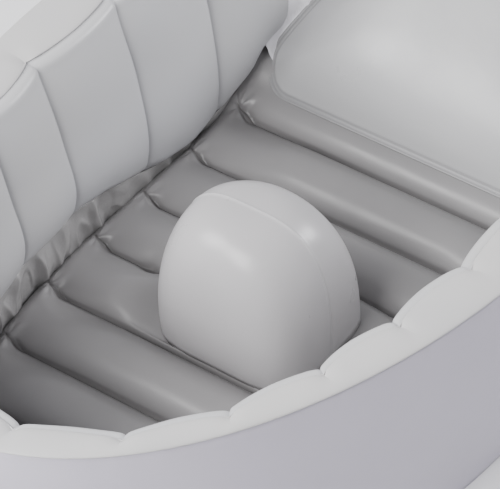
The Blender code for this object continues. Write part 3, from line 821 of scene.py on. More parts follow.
    def build_webs(self) -> None:
        """The films inside the wall that hold its two skins together at each seam."""
        material = self.finishes.web.material()
        heights = np.linspace(*self.web_span, self.web_steps)
        across = np.linspace(self.web_inset_share, 1 - self.web_inset_share, self.web_steps)
        across = across[None, :, None]
        for number in range(2 * len(self.seam_shares)):
            column = number * self.columns_per_panel
            ends = []
            for skin in (self.inner_grid[:, column], self.outer_grid[:, column]):
                order = np.argsort(skin[:, 2])
                ends.append(np.stack([np.interp(heights, skin[order, 2], skin[order, axis])
                                      for axis in (0, 1)] + [heights], axis=-1)[:, None, :])
            grid = blend(*ends, across) + np.sin(math.pi * across) * np.array(self.web_sag)
            name = "wall_web_%02d" % (number + 1)
            Film(name + "_film", grid).make(material, replaced=(name,))

    def build(self, frame: dict) -> None:
        """Build every film of the wall and dress what stays as it is.
        """
        self.build_inner(frame)
        self.build_rim()
        self.build_outer()
        self.build_skirt()
        self.build_webs()
        dress(frame["nodes"]["wall_base"], self.finishes.outer.material())


def dress(node: bpy.types.Object, material: bpy.types.Material) -> None:
    """Give a node of the frame a finish.

    Args:
        node: The node.
        material: Its finish.
    """
    for slot in node.material_slots:
        slot.material = material
    LOG.info("%s: dressed", node.name)


# The air floor


@dataclass
class AirFloor:
    """The ribbed mattress: an upper and a lower film."""

    plan: TubPlan
    finishes: Finishes
    foot_pan: float = 0.037
    head_sheet: float = 0.136
    rib_count: int = 7
    last_rib_share: float = 0.8243
    rib_height: float = 0.0440
    valley_height: float = 0.015
    last_rib_height: float = 0.040
    end_gap: float = 0.018
    round_width: float = 0.018
    edge_inset: float = 0.0012
    edge_places: tuple[float, ...] = (0.105, 0.160, 0.200, 0.216, 0.236, 0.262, 0.300)
    edge_levels: tuple[float, ...] = (0.0185, 0.0250, 0.0440, 0.0610, 0.0670, 0.0600, 0.0300)
    edge_curl: Crumple = Crumple(0.0036, (46, 46, 1), 5.2)
    fall_width: float = 0.0110
    fall_power: float = 5.0
    corner_span: Span = (0.186, 0.206)
    corner_width: float = 0.030
    corner_power: float = 2.2
    corner_start: float = 0.1975
    corner_round: float = 0.006
    corner_drop: float = 0.0062
    corner_rise: float = 0.85
    corner_length: float = 0.075
    corner_sides: Span = (0.118, 0.142)
    curl: float = 0.0050
    curl_span: Span = (0.0125, 0.0020)
    still_end: float = 0.03
    end_lift: float = 0.0130
    lift_span: Span = (0.020, 0.006)
    lip: float = 0.010
    head_pan: float = 0.006
    head_fall: float = 0.015
    rib_power: float = 2.0
    foot_root: float = 1.50
    head_root: float = 1.10
    root_span: Span = (0.25, 0.65)
    rib_skew: float = 0.78
    flat_span: Span = (0.080, 0.180)
    flat_drop: float = 0.0125
    flat_root: float = 1.30
    flat_root_share: float = 0.5
    weld_width: float = 0.0012
    weld_round: float = 0.004
    dot_width: float = 0.0056
    dot_length: float = 0.0085
    weld_end: float = 0.0100
    # How far the painted crease shade reaches past each weld's width and past its ends.
    shade_spread: float = 0.0006
    shade_end: float = 0.003
    broken_valley: int = 4
    broken_start: float = 0.118
    broken_rise_share: float = 0.45
    broken_length: float = 0.026
    crease_height: float = 0.0012
    crease_place: float = 0.010
    crease_width: float = 0.007
    crease_count: int = 8
    crease_turn: float = 1.7
    pommel_half_length: float = 0.0712
    pommel_half_width: float = 0.0792
    pommel_power: float = 4.8
    pommel_place_share: float = 0.4981
    seat_places: tuple[float, ...] = (-0.125, -0.116, -0.108, -0.090, -0.030, 0.030)
    seat_heights: tuple[float, ...] = (0.0150, 0.0185, 0.0215, 0.0240, 0.0262, 0.0280)
    seat_span: Span = (-0.1175, -0.1125)
    pad_share: float = 0.90
    moat_shares: Span = (1.66, 1.34)
    moat_span: Span = (-0.02, 0.04)
    near_weld: tuple[float, ...] = (0, 0.0006, 0.0012, 0.0018, 0.0026, 0.0036, 0.005, 0.007,
                                    0.0095, 0.0125, 0.016, 0.020, 0.025, 0.030)
    near_pommel: tuple[float, ...] = (0.0005, 0.0015, 0.0045, 0.0065)
    under_width: float = 0.012
    under_depth: float = 0.0030
    under_gap: float = 0.0015
    under_shares: Span = (0.86, 0.95)

    @property
    def full_length(self) -> float:
        """Half the length over which the valleys are laid out."""
        return self.plan.waist().length - self.end_gap - self.round_width

    @property
    def edge(self) -> PlanCurve:
        """The line where the upper film meets the skirt."""
        return self.plan.skirt().inset(self.edge_inset, self.edge_inset)

    @property
    def border(self) -> PlanCurve:
        """Outer edge of both films, under the skirt."""
        return self.plan.skirt().inset(-self.lip, -self.lip)

    def valleys(self) -> list[float]:
        """Lay out the weld lines.

        Returns:
            Their places along the tub, from foot to head.
        """
        start, end = self.foot_pan - self.full_length, self.full_length - self.head_sheet
        width = (end - start) / (self.rib_count + self.last_rib_share)
        return [start + width * k for k in range(self.rib_count + 1)] + [end]

    @property
    def pommel_x(self) -> float:
        """Middle of the pommel along the tub."""
        places = self.valleys()
        return blend(places[0], places[-1], self.pommel_place_share)

    def weld_span(self, number: int) -> Span:
        """Where a weld line runs, as distances from the middle.

        Args:
            number: Its number from the foot end.

        Returns:
            Inner and outer end; the inner one is negative where it runs right across.
        """
        outer = float(self.edge.half_width(self.valleys()[number])) - self.weld_end
        return (self.broken_start if number == self.broken_valley else -1.0), outer

    def half_weld(self, number: int, y: np.ndarray) -> np.ndarray:
        """Half the width of a weld line, wider at its ends.

        Args:
            number: Its number from the foot end.
            y: Places across the tub.

        Returns:
            Half widths, 0 past its ends.
        """
        inner, outer = self.weld_span(number)
        reach = np.abs(y)
        dot = bell(reach - outer + self.dot_length, self.dot_length)
        inside = ease(reach, outer + self.weld_round, outer)
        if inner > 0:
            dot = dot + bell(reach - inner - self.dot_length, self.dot_length)
            inside = inside * ease(reach, inner - self.weld_round, inner)
        return blend(self.weld_width, self.dot_width, dot) / 2 * inside

    def valley_level(self, number: int, y: np.ndarray) -> np.ndarray:
        """Height of the mattress along a weld line and past its ends.

        Args:
            number: The weld line's number from the foot end.
            y: Places across the tub.

        Returns:
            Heights.
        """
        inner, outer = self.weld_span(number)
        reach = np.abs(y)
        before, past = self.lift_span
        level = self.valley_height + self.end_lift * ease(reach, outer - before, outer + past)
        if inner > 0:
            rise = (self.rib_height - self.valley_height) * self.broken_rise_share
            level = level + rise * ease(inner - reach, 0, self.broken_length)
        return level

    def inner_height(self, x: np.ndarray, y: np.ndarray) -> np.ndarray:
        """Height over ribs and valleys, away from the sides.

        Args:
            x: Places along the tub.
            y: Places across it.

        Returns:
            Heights.
        """
        places = self.valleys()
        drop = ease(x - places[-1], 0, self.head_fall)
        height = blend(self.valley_height, self.head_pan, drop)
        for number, (start, end) in enumerate(zip(places, places[1:])):
            last = number == self.rib_count
            flat = 0.0 if last else ease(np.abs(y), *self.flat_span)
            top = self.last_rib_height if last else self.rib_height - self.flat_drop * flat
            foot_side = start + self.half_weld(number, y)
            head_side = end - self.half_weld(number + 1, y)
            share = np.clip((x - foot_side) / (head_side - foot_side), 0, 1)
            base = blend(self.valley_level(number, y), self.valley_level(number + 1, y), share)
            root = blend(self.foot_root, self.head_root, ease(share, *self.root_span))
            root = blend(root, self.flat_root, flat * self.flat_root_share)
            bow = arch(share ** self.rib_skew, self.rib_power, root)
            height = np.where((x >= start) & (x <= end), blend(base, top, bow), height)
        height = self.around_pommel(self.corner(height, x, y), x, y)
        return self.pucker(height, x, y)

    def corner(self, height: np.ndarray, x: np.ndarray, y: np.ndarray) -> np.ndarray:
        """Carry the last rib's ends up beside the backrest.

        Args:
            height: Height without the corners.
            x: Places along the tub.
            y: Places across it.

        Returns:
            Heights.
        """
        climb = np.clip(x - self.corner_start, 0, self.corner_length)
        slope = self.last_rib_height - self.corner_drop + self.corner_rise * climb
        beside = ease(np.abs(y), *self.corner_sides)
        begun = ease(x, self.corner_start - self.corner_round, self.corner_start + self.corner_round)
        return height + np.clip(slope - height, 0, None) * beside * begun

    def drift(self, x: np.ndarray, y: np.ndarray) -> np.ndarray:
        """How far the creases past the welds' ends run towards the head end."""
        return self.curl * ease(self.edge.half_width(x) - np.abs(y), *self.curl_span)

    def base_ring(self) -> PlanCurve:
        """Outline of the pommel on the mattress, about its own middle."""
        return PlanCurve(self.pommel_half_length, self.pommel_half_width, self.pommel_power,
                         self.pommel_power)

    def seat(self, x: np.ndarray) -> np.ndarray:
        """Height of the mattress at the pommel's weld, lowest at its foot side."""
        return np.interp(x, self.seat_places, self.seat_heights)

    def around_pommel(self, height: np.ndarray, x: np.ndarray, y: np.ndarray) -> np.ndarray:
        """Draw the mattress down under the pommel and round its edge.

        Args:
            height: Height without the pommel.
            x: Places along the tub.
            y: Places across it.

        Returns:
            Heights.
        """
        share = self.base_ring().share_at(x - self.pommel_x, y)
        reach = blend(*self.moat_shares, ease(x, *self.moat_span))
        out = (share - self.pad_share) / (reach - self.pad_share)
        pad = (1 - ease(out, 0, 1)) * ease(x, *self.seat_span)
        return blend(height, self.seat(x), pad)

    def pucker(self, height: np.ndarray, x: np.ndarray, y: np.ndarray) -> np.ndarray:
        """Add the fine creases that spread from the ends of each weld line.

        Args:
            height: Height without the creases.
            x: Places along the tub.
            y: Places across it.

        Returns:
            Heights.
        """
        for number, place in enumerate(self.valleys()):
            outer = self.weld_span(number)[1]
            away = np.hypot(x - place, np.abs(y) - outer)
            angle = np.arctan2(np.abs(y) - outer, x - place)
            wave = np.cos(self.crease_count * angle + number * self.crease_turn)
            window = bell(away - self.crease_place, self.crease_width)
            height = height + self.crease_height * window * wave
        return height

    def height(self, x: np.ndarray, y: np.ndarray) -> np.ndarray:
        """Height of the upper film.

        Args:
            x: Places along the tub.
            y: Places across it.

        Returns:
            Heights.
        """
        x, y = np.broadcast_arrays(np.asarray(x, float), np.asarray(y, float))
        edge = self.edge
        squeeze = np.hypot(x, y) / np.maximum(np.hypot(x / edge.length, y / edge.width), 1e-9)
        inside = (1 - edge.share_at(x, y)) * np.minimum(squeeze, edge.width)
        corner = ease(x, *self.corner_span)
        fall = np.clip(inside, 0, None) / blend(self.fall_width, self.corner_width, corner)
        power = blend(self.fall_power, self.corner_power, corner)
        rise = fall / (1 + fall ** power) ** (1 / power)
        level = np.interp(x, self.edge_places, self.edge_levels)
        inner = self.inner_height(x - self.drift(x, y), y)
        curl = self.edge_curl.at(np.stack((x, y, 0 * x), axis=-1))
        return blend(level, inner, rise) + curl * rise * (1 - rise)

    def columns(self) -> np.ndarray:
        """Lay out the upper film's rows, close together at the welds.

        Returns:
            Their places along the tub.
        """
        places = self.valleys()
        reach = self.edge.length - 0.0001
        head = np.concatenate((np.linspace(places[-1], places[-1] + self.head_fall, 8),
                               np.linspace(places[-1] + self.head_fall, reach, 26)))
        foot = -np.linspace(-places[0], reach, 30)
        near = np.array(self.near_weld)
        ribs = []
        for start, stop in zip(places, places[1:]):
            ribs += [start + near, stop - near, [(start + stop) / 2]]
        front = self.pommel_x - self.pommel_half_length + np.array(self.near_pommel)
        return np.unique(np.round(np.concatenate((foot, *ribs, head, front)), 7))

    def rows_across(self, x: np.ndarray) -> np.ndarray:
        """Lay out points across the tub, closer together where the film falls at its sides.

        Args:
            x: Places along the tub.

        Returns:
            Places across it, one row for each place along it.
        """
        reach = self.edge.half_width(x)
        fall = np.minimum(3 * self.fall_width, reach * 0.3)
        outer = reach[:, None] - fall[:, None] * np.linspace(0, 1, 26)[None, :-1]
        half = (reach - fall)[:, None] * (1 - np.linspace(0, 1, 56) ** 1.1)[None, :-1]
        side = np.concatenate((outer, half), axis=1)
        return np.concatenate((side, np.zeros((len(x), 1)), -side[:, ::-1]), axis=1)

    def weld_shade_mark(self, x: np.ndarray, y: np.ndarray) -> np.ndarray:
        """How much painted shade each point of the upper film takes along the weld lines: the welds
        and the dots at their ends are painted dark for the shade deep in their narrow creases.

        Args:
            x: Places along the tub.
            y: Places across it.

        Returns:
            From 0 to 1.
        """
        mark = np.zeros(x.shape)
        for number, place in enumerate(self.valleys()):
            inner, outer = self.weld_span(number)
            width = self.half_weld(number, y) + self.shade_spread
            inside = (np.abs(y) < outer + self.shade_end) & (np.abs(y) > inner - self.shade_end)
            mark = np.maximum(mark, bell(x - place, width) * inside)
        return mark

    def build_top(self) -> None:
        """The upper film, with its ribs and welds, the welds painted dark as the shade in their
        creases.
        """
        x = self.columns()
        y = self.rows_across(x)
        x = np.broadcast_to(x[:, None], y.shape)
        moved = x + self.drift(x, y) * (np.abs(x) < self.edge.length - self.still_end)
        grid = np.stack((moved, y, self.height(moved, y)), axis=-1)
        top = Film("mattress_top_film", grid, False, self.weld_shade_mark(x, y)).make(
            self.finishes.floor.material(), replaced=("floor_top_sheet",))

    def build_under(self) -> None:
        """The lower film, which follows the weld lines up."""
        end = self.border.length - 0.0005
        x = np.concatenate(([-end], self.columns()[::3], [end]))
        y = self.border.half_width(x)[:, None] * np.linspace(1, -1, 61)[None, :]
        x = np.broadcast_to(x[:, None], y.shape)
        low = self.plan.film / 2 + self.plan.film + self.plan.gap
        lift = np.zeros(x.shape)
        for place in self.valleys():
            lift = np.maximum(lift, bell(x - place, self.under_width))
        lift = lift * (1 - ease(self.edge.share_at(x, y), *self.under_shares))
        z = blend(low, self.valley_height - self.under_depth, lift)
        z = np.minimum(z, np.maximum(self.height(x, y) - self.under_gap, low))
        Film("mattress_under_film", np.stack((x, y, z), axis=-1)).make(
            self.finishes.floor.material(), replaced=("floor_bottom_sheet",))

    def build(self) -> None:
        """Build both films."""
        self.build_top()
        self.build_under()


# The pommel


@dataclass
class Pommel:
    """The dome that a child sits behind: a foot panel and a head panel."""

    plan: TubPlan
    floor: AirFloor
    finishes: Finishes
    height: float = 0.1726
    lean: float = 0.0139
    power: float = 3.2
    top_plan_power: float = 1.8
    tuck_share: float = 0.05
    tuck_power: float = 2.25
    front_tuck: float = 0.0030
    front_tuck_power: float = 9.0
    seam_lap: float = 0.0003
    seam_fade: Span = (0.126, 0.150)
    seam_rise: float = 0.0008
    seam_reach: float = 0.0015
    seam_weld_and_light_tone: float = 0.7
    seam_steps: tuple[float, ...] = (0, 0.004, 0.008, 0.014)
    top_shares: tuple[float, ...] = (0.115, 0.09, 0.07, 0.05, 0.035, 0.02, 0.01, 0.0045)
    top_normal: Triple = (-0.18, 0, 0.98)
    panel_drift: Crumple = Crumple(0.0005, (16, 16, 16), 9.2)
    foot_pucker: Crumple = Crumple(0.0006, (90, 90, 40), 3.3)
    foot_angle: float = 0.16

    def point(self, side: int, climb: np.ndarray, turn: np.ndarray) -> np.ndarray:
        """Points of one panel.

        Args:
            side: -1 for the foot panel, 1 for the head panel.
            climb: Angle from the base to the top.
            turn: Angle round the panel, from one end of the seam to the other.

        Returns:
            Points.
        """
        ring = self.floor.base_ring()
        rise = np.sin(climb)
        shrink = quarter(rise, self.power) * (1 - self.tuck_share * (1 - rise) ** self.tuck_power)
        shrink = np.maximum(shrink, self.plan.gap / ring.width)
        square = blend(ring.foot_power, self.top_plan_power, rise)
        cosine, sine = np.abs(np.cos(turn)), np.sin(turn)
        x = ring.length * cosine ** (2 / square) * shrink
        y = ring.width * np.sign(sine) * np.abs(sine) ** (2 / square) * shrink
        place = self.floor.pommel_x + side * (x - self.seam_lap / 2) - self.lean * rise
        if side < 0:
            place = place + self.front_tuck * (1 - rise) ** self.front_tuck_power * cosine
        foot = self.floor.seat(place[0])[None, :] + self.plan.film
        return np.stack((place, y, blend(foot, self.height - self.plan.film, rise)), axis=-1)

    def build_panel(self, name: str, side: int) -> None:
        """Build one panel, with its half of the raised weld lip along the seam, painted lighter high
        up as a highlight on the lip.

        Args:
            name: Its name.
            side: -1 for the foot panel, 1 for the head panel.
        """
        climbs = np.linspace(0, 1, 44)[:-1] ** 0.9 * math.pi / 2
        last = np.arcsin(quarter(np.array(self.top_shares), self.power))
        near = np.array(self.seam_steps)
        steps = np.concatenate((near, np.linspace(0.025, 0.975, 62), 1 - near[::-1]))
        climb, turn = np.meshgrid(np.concatenate((climbs, last)), math.pi * (steps - 0.5),
                                  indexing="ij")
        plain = self.point(side, climb, turn)
        out = normals_of(plain, False)
        middle = np.array((self.floor.pommel_x, 0, self.height / 2))
        out *= np.sign(((plain - middle) * out).sum(-1, keepdims=True))
        out[-1] = self.top_normal
        seam = self.floor.pommel_x - self.lean * np.sin(climb)
        lip = bell(plain[..., 0] - seam, self.seam_reach) * ease(plain[..., 2], *self.seam_fade)
        drift = self.panel_drift.at(plain) * np.sin(climb)
        pucker = self.foot_pucker.at(plain) * bell(climb, self.foot_angle)
        grid = plain + out * (self.seam_rise * lip + drift + pucker)[..., None]
        crossed = side * (grid[..., 0] - seam) < 0
        grid[..., 0] = np.where(crossed, plain[..., 0], grid[..., 0])
        # Painted highlight: the seam lip is painted lighter, fading out lower down.
        panel = Film(name + "_film", grid, False, lip * self.seam_weld_and_light_tone).make(
            self.finishes.pommel.material(), replaced=(name + "_panel",))

    def build(self) -> None:
        """Build both panels."""
        self.build_panel("pommel_foot", -1)
        self.build_panel("pommel_head", 1)


# The backrest


@dataclass
class Backrest:
    """The crowned cushion and the light film that holds it between the walls."""

    plan: TubPlan
    wall: AirWall
    floor: AirFloor
    finishes: Finishes
    weld_share: float = 0.3450
    end_gap: float = 0.0067
    top_drop: float = 0.0004
    width_share: float = 0.9635
    corner_length: float = 0.045
    corner_width: float = 0.036
    taper_power: float = 1.2
    round_power: float = 2.2
    crown: float = 0.042
    rise_power: float = 2.8
    side_power: float = 3.0
    swell_length: float = 0.020
    cushion_drift: Crumple = Crumple(0.0009, (12, 12, 1), 2.9)
    drift_start: float = 0.03
    flange: float = 0.007
    # Painted shade on the weld flange: its strength and where it fades out.
    flange_shade_tone: float = 0.8
    flange_shade_edge: Span = (0.0060, 0.0085)
    groove_places: Span = (0.0024, 0.0060)
    groove_width: float = 0.0007
    groove_depth: float = 0.0005
    fade_shares: Span = (0.80, 0.93)
    near_edge: tuple[float, ...] = (0, 0.0009, 0.0015, 0.0019, 0.0023, 0.0028, 0.0034, 0.0042,
                                    0.0050, 0.0055, 0.0059, 0.0063, 0.0068, 0.0076, 0.009, 0.011,
                                    0.0135, 0.017, 0.021, 0.026, 0.032)
    near_top_shares: tuple[float, ...] = (0.945, 0.958, 0.969, 0.978, 0.985)
    usual_half_width: float = 0.186
    clearance: float = 0.0008
    weld_reach: float = 0.0008
    wall_touch: float = 0.0060
    wall_leave: float = 0.0070
    leave_span: Span = (0.050, 0.135)
    gusset_start: float = 0.022
    gusset_slant: float = 0.018
    slant_shares: Span = (0.90, 1.0)
    gusset_heights: Span = (0.0170, 0.0270)
    height_span: Span = (0.040, 0.080)
    height_power: float = 0.7
    least_width: float = 0.004
    shown_span: Span = (0.070, 0.165)
    hidden_shares: Span = (0.12, 0.25)
    beside_span: Span = (-0.004, 0.003)
    gusset_sag: float = 0.0030
    crease_depth: float = 0.0046
    gusset_crease: Crumple = Crumple(2.6, (34, 95, 1), 7.7)
    gusset_fine: Crumple = Crumple(0.0022, (110, 190, 1), 3.2)
    shelf_lean_share: float = 0.9
    shelf_steps: int = 6
    shelf_sag: float = 0.004

    @property
    def foot(self) -> np.ndarray:
        """Find the middle of the cushion's lower weld.

        Returns:
            The point.
        """
        x = blend(*self.floor.valleys()[-2:], self.weld_share)
        level = float(self.floor.height(np.array(x), np.array(0.0)))
        return np.array((x, 0, level + self.plan.film + self.plan.gap))

    @property
    def slope(self) -> np.ndarray:
        """From the lower weld to the top of the cushion."""
        top = self.plan.wall_top().length - self.wall.scallop - self.end_gap
        return np.array((top, 0, self.plan.panel_top - self.top_drop)) - self.foot

    @property
    def length(self) -> float:
        """Length of the cushion up the slope."""
        return float(np.linalg.norm(self.slope))

    def on_slope(self, along: np.ndarray, across: np.ndarray, proud: np.ndarray) -> np.ndarray:
        """Points on the slope or above it.

        Args:
            along: Distances up the slope.
            across: Distances across it.
            proud: Distances out of it.

        Returns:
            Points.
        """
        up = self.slope / self.length
        out = np.array((-up[2], 0, up[0]))
        along, across, proud = np.broadcast_arrays(along, across, proud)
        return (self.foot + along[..., None] * up + across[..., None] * np.array((0, 1, 0))
                + proud[..., None] * out)

    def half_width(self, along: np.ndarray) -> np.ndarray:
        """Half the width of the cushion's outline.

        Args:
            along: Distances up the slope.

        Returns:
            Half widths there.
        """
        widest = self.plan.waist().width * self.width_share
        corner = np.clip((self.corner_length - along) / self.corner_length, 0, 1)
        share = np.clip((along - self.corner_length) / (self.length - self.corner_length), 0, 1)
        level = self.on_slope(along, 0 * along, 0 * along)
        touch = self.wall_touch - self.wall_leave * ease(along, *self.leave_span)
        clear = np.minimum(widest * quarter(share, self.taper_power, self.round_power),
                           self.wall_reach(level[:, 0], level[:, 2]) + touch)
        return clear - self.corner_width * (1 - np.sqrt(1 - corner ** 2))

    def wall_reach(self, x: np.ndarray, z: np.ndarray) -> np.ndarray:
        """Clear half width between the bulging walls.

        Args:
            x: Places along the tub.
            z: Heights.

        Returns:
            Half widths, of the shape of x.
        """
        plan, waist, top = self.plan, self.plan.waist(), self.plan.wall_top()
        heights = np.stack(np.broadcast_arrays(plan.skirt_top(x) + plan.waist_rise,
                                               plan.middle_height, plan.panel_top), axis=-1)
        share = np.array([np.interp(level, row, (0, plan.middle_share, 1))
                          for level, row in zip(np.ravel(z), heights.reshape(-1, 3))])
        share = share.reshape(np.shape(x))
        clear = self.wall.scallop + self.clearance
        length = blend(waist.length, top.length, share) - clear
        width = blend(waist.width, top.width, share) - clear
        return width * quarter(x / length, blend(waist.head_power, top.head_power, share))

    def rise(self, along: np.ndarray, share: np.ndarray) -> np.ndarray:
        """How far the cushion's front stands out of the slope."""
        up = arch(np.clip(along / self.length, 0, 1), self.rise_power)
        return self.crown * up * quarter(share, self.side_power, 2.0)

    @staticmethod
    def edge_distance(u: np.ndarray, v: np.ndarray, along: np.ndarray,
                      reach: np.ndarray) -> np.ndarray:
        """Distance of points of the cushion from its outline.

        Args:
            u: Distances up the slope.
            v: Distances across it.
            along: Places up the slope where the outline is known.
            reach: Half width of the outline there.

        Returns:
            Distances, of the shape of u.
        """
        fine = np.linspace(0, along[-1], 420)
        side = np.interp(fine, along, reach)
        low = np.linspace(0, reach[0], 120)
        outline = np.concatenate((np.stack((fine, side), axis=-1),
                                  np.stack((0 * low, low), axis=-1)))
        points = np.stack((u, np.abs(v)), axis=-1)[..., None, :]
        return np.sqrt(((points - outline) ** 2).sum(-1).min(-1))

    def build_cushion(self) -> None:
        """The cushion, with a flat weld flange and two fine grooves along its edge, both painted
        darker as shade.
        """
        near = np.array(self.near_edge)
        along = np.concatenate((near, np.linspace(near[-1], self.length * 0.93, 54)[1:],
                                self.length * np.array(self.near_top_shares)))
        inner = near / self.usual_half_width
        across = np.concatenate((inner, np.linspace(inner[-1], 1, 32)[1:]))
        shares = np.concatenate((across - 1, (1 - across)[::-1][1:]))
        reach = self.half_width(along)
        u, share = np.meshgrid(along, shares, indexing="ij")
        v = share * reach[:, None]
        edge = self.edge_distance(u, v, along, reach)
        inset = np.clip(edge - self.flange, 0, None)
        lift = self.rise(u, share) * (1 - np.exp(-inset / self.swell_length))
        drift = self.cushion_drift.at(np.stack((u, v, 0 * u), axis=-1))
        shown = 1 - ease(u / self.length, *self.fade_shares)
        grooves = sum(bell(edge - place, self.groove_width) for place in self.groove_places)
        proud = (lift + drift * np.clip(inset / self.drift_start, 0, 1)
                 - self.groove_depth * grooves * shown)
        # Painted shade: the weld flange and the two grooves are painted darker, fading out near the
        # top.
        flange = self.flange_shade_tone * (1 - ease(edge, *self.flange_shade_edge))
        mark = np.clip(flange + grooves, 0, 1) * shown
        cushion = Film("backrest_cushion_film", self.on_slope(u, v, proud), False, mark).make(
            self.finishes.cushion.material(), replaced=("backrest_front",))

    def shelf(self, edge: np.ndarray) -> np.ndarray:
        """Strip from the support film's upper edge to the wall at the head end.

        Args:
            edge: Points of that edge.

        Returns:
            Rows of points, the last one at the wall.
        """
        ring = self.plan.leaning(self.shelf_lean_share)
        wall_x = np.maximum(ring.head_reach(edge[:, 1]) + self.weld_reach, edge[:, 0])
        rows = []
        for share in np.linspace(0, 1, self.shelf_steps + 1)[1:]:
            row = edge.copy()
            row[:, 0] = blend(row[:, 0], wall_x, share)
            row[:, 2] -= self.shelf_sag * math.sin(math.pi * share)
            rows.append(row)
        return np.array(rows)

    def build_gusset(self) -> None:
        """The light film behind the cushion, wrinkled where it shows beside it."""
        along = np.linspace(self.gusset_start, self.length, 100)
        edges = np.linspace(0.72, 1, 46)
        shares = np.concatenate((-edges[::-1], np.linspace(-0.68, 0.68, 12), edges))
        behind = self.plan.film + self.plan.gap
        level = self.on_slope(along, 0 * along, 0 * along - behind)
        reach = self.wall_reach(level[:, 0], level[:, 2]) + self.wall.scallop + self.weld_reach
        reach, hidden = reach[:, None], self.half_width(along)[:, None]
        u, share = np.meshgrid(along, shares, indexing="ij")
        v = share * reach
        rest = (self.length - u) / (self.length - self.gusset_start)
        u = u + self.gusset_slant * rest * ease(np.abs(share), *self.slant_shares)
        shown = 1 - ease(u, *self.shown_span)
        bulge_shown, sag_shown = (blend(least, 1, shown) for least in self.hidden_shares)
        place = np.stack((u, v, 0 * u), axis=-1)
        crease = 1 - np.abs(self.gusset_crease.at(place))
        sag = self.gusset_sag - self.crease_depth * crease + self.gusset_fine.at(place)
        sag = sag * ease(np.abs(v) - hidden, *self.beside_span) * sag_shown
        out = np.clip((np.abs(v) - hidden) / np.maximum(reach - hidden, self.least_width), 0, 1)
        height = blend(*self.gusset_heights, ease(u, *self.height_span))
        bulge = height * out ** self.height_power * bulge_shown
        grid = self.on_slope(u, v, bulge - behind - sag)
        grid = np.concatenate((grid, self.shelf(grid[-1])))
        Film("backrest_gusset_film", grid).make(
            self.finishes.gusset.material(), replaced=("backrest_support",))

    def build(self) -> None:
        """Build the cushion and the film behind it."""
        self.build_cushion()
        self.build_gusset()


# Valves and drain


@dataclass
class Fittings:
    """The moulded pieces of the valves and the drain, as the frame has them."""

    finishes: Finishes

    def build(self, frame: dict) -> None:
        """Dress every flange, stem, plug, strap, flap and seat.
        """
        soft, clear = self.finishes.moulding.material(), self.finishes.clear.material()
        for name, node in frame["nodes"].items():
            if name.startswith(("wall_valve", "floor_valve", "backrest_valve", "drain")):
                dress(node, clear if name.endswith("_flap") else soft)


# The studio


@dataclass(frozen=True)
class Lamp:
    """A soft area light: where it hangs, its aim, its size, its watts and its colour."""

    name: str
    place: Triple
    size: Span
    power: float
    colour: Triple = (1.0, 1.0, 1.0)
    aim: Triple = (-0.1, 0, 0.12)

    def build(self) -> None:
        """Hang the light and turn it to its aim."""
        data = bpy.data.lights.new(self.name, "AREA")
        data.shape = "RECTANGLE"
        data.size, data.size_y = self.size
        data.energy = self.power
        data.color = self.colour
        lamp = bpy.data.objects.new(self.name, data)
        lamp.location = self.place
        way = Vector(self.aim) - Vector(self.place)
        lamp.rotation_euler = way.to_track_quat("-Z", "Y").to_euler()
        bpy.context.scene.collection.objects.link(lamp)


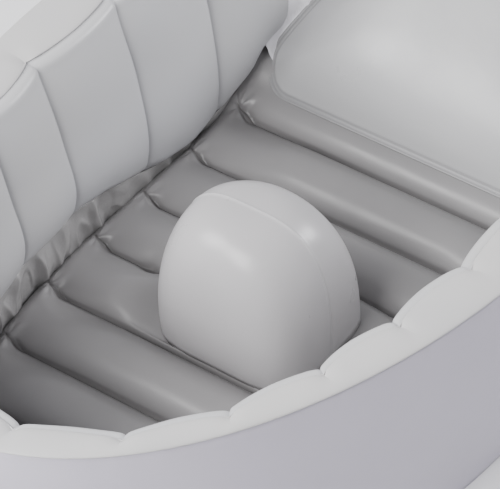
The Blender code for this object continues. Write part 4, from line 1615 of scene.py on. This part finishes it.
@dataclass
class Studio:
    """A pale floor, soft lights and the camera."""

    heading: float = math.radians(35.58)
    elevation: float = math.radians(43.48)
    focal_pixels: float = 3252.42
    image_width: float = 500.0
    offset_x: float = -22.15
    offset_y: float = 83.06
    distance: float = 2.80399
    target: Triple = (-0.100, 0.0, 0.060)
    sensor: float = 36.0
    view_end: float = 50.0
    floor_size: float = 6.0
    floor_colour: Triple = (0.86, 0.86, 0.87)
    floor_roughness: float = 0.8
    sky_colour: Triple = (0.97, 0.97, 1.0)
    sky_strength: float = 0.60
    lamps: tuple[Lamp, ...] = (
        Lamp("left", (-1.30, 1.65, 1.55), (1.1, 1.1), 48.0),
        Lamp("front", (-2.10, 0.05, 1.65), (1.0, 1.1), 54.0, (1.0, 0.995, 0.99)),
        Lamp("middle", (-1.85, 1.02, 1.68), (1.1, 1.1), 28.0),
        Lamp("right", (2.00, -1.10, 1.20), (0.9, 0.9), 50.0, (0.97, 0.97, 1.0), (-0.05, 0, 0.12)),
    )

    def build_camera(self) -> None:
        """The camera, aimed at the middle of the frame, so that it needs no shift."""
        flat = math.cos(self.elevation)
        ahead = Vector((math.cos(self.heading) * flat, math.sin(self.heading) * flat,
                        -math.sin(self.elevation)))
        right = Vector((math.sin(self.heading), -math.cos(self.heading), 0))
        up = right.cross(ahead)
        place = Vector(self.target) - ahead * self.distance
        aim = (ahead - right * (self.offset_x / self.focal_pixels)
               + up * (self.offset_y / self.focal_pixels)).normalized()
        level = (up - aim * up.dot(aim)).normalized()
        data = bpy.data.cameras.new("view")
        data.sensor_width = self.sensor
        data.lens = self.focal_pixels * self.sensor / self.image_width
        data.clip_end = self.view_end
        camera = bpy.data.objects.new("view", data)
        turn = Matrix((aim.cross(level), level, -aim)).transposed()
        camera.matrix_world = Matrix.Translation(place) @ turn.to_4x4()
        bpy.context.scene.collection.objects.link(camera)
        bpy.context.scene.camera = camera

    def build_floor(self) -> None:
        """A wide pale floor."""
        data = bmesh.new()
        bmesh.ops.create_grid(data, x_segments=8, y_segments=8, size=self.floor_size)
        mesh = bpy.data.meshes.new("studio_floor")
        data.to_mesh(mesh)
        data.free()
        floor = bpy.data.objects.new("studio_floor", mesh)
        bpy.context.scene.collection.objects.link(floor)
        material = bpy.data.materials.new("studio_floor")
        material.use_nodes = True
        shader = material.node_tree.nodes["Principled BSDF"]
        shader.inputs["Base Color"].default_value = (*self.floor_colour, 1.0)
        shader.inputs["Roughness"].default_value = self.floor_roughness
        floor.data.materials.append(material)

    def build(self) -> None:
        """Build the floor, the lights and the camera."""
        self.build_floor()
        world = bpy.data.worlds.new("studio")
        world.use_nodes = True
        sky = world.node_tree.nodes["Background"]
        sky.inputs["Color"].default_value = (*self.sky_colour, 1.0)
        sky.inputs["Strength"].default_value = self.sky_strength
        bpy.context.scene.world = world
        for lamp in self.lamps:
            lamp.build()
        self.build_camera()


def main() -> None:
    """Load the frame, build each piece in order and set the studio up."""
    logging.basicConfig(level=logging.INFO, format="%(name)s %(message)s")
    for obj in list(bpy.data.objects):
        bpy.data.objects.remove(obj, do_unlink=True)
    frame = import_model()
    plan, finishes = TubPlan(), Finishes()
    wall = AirWall(plan, finishes)
    wall.build(frame)
    floor = AirFloor(plan, finishes)
    floor.build()
    Pommel(plan, floor, finishes).build()
    Backrest(plan, wall, floor, finishes).build()
    Fittings(finishes).build(frame)
    Studio().build()


if __name__ == "__main__":
    main()
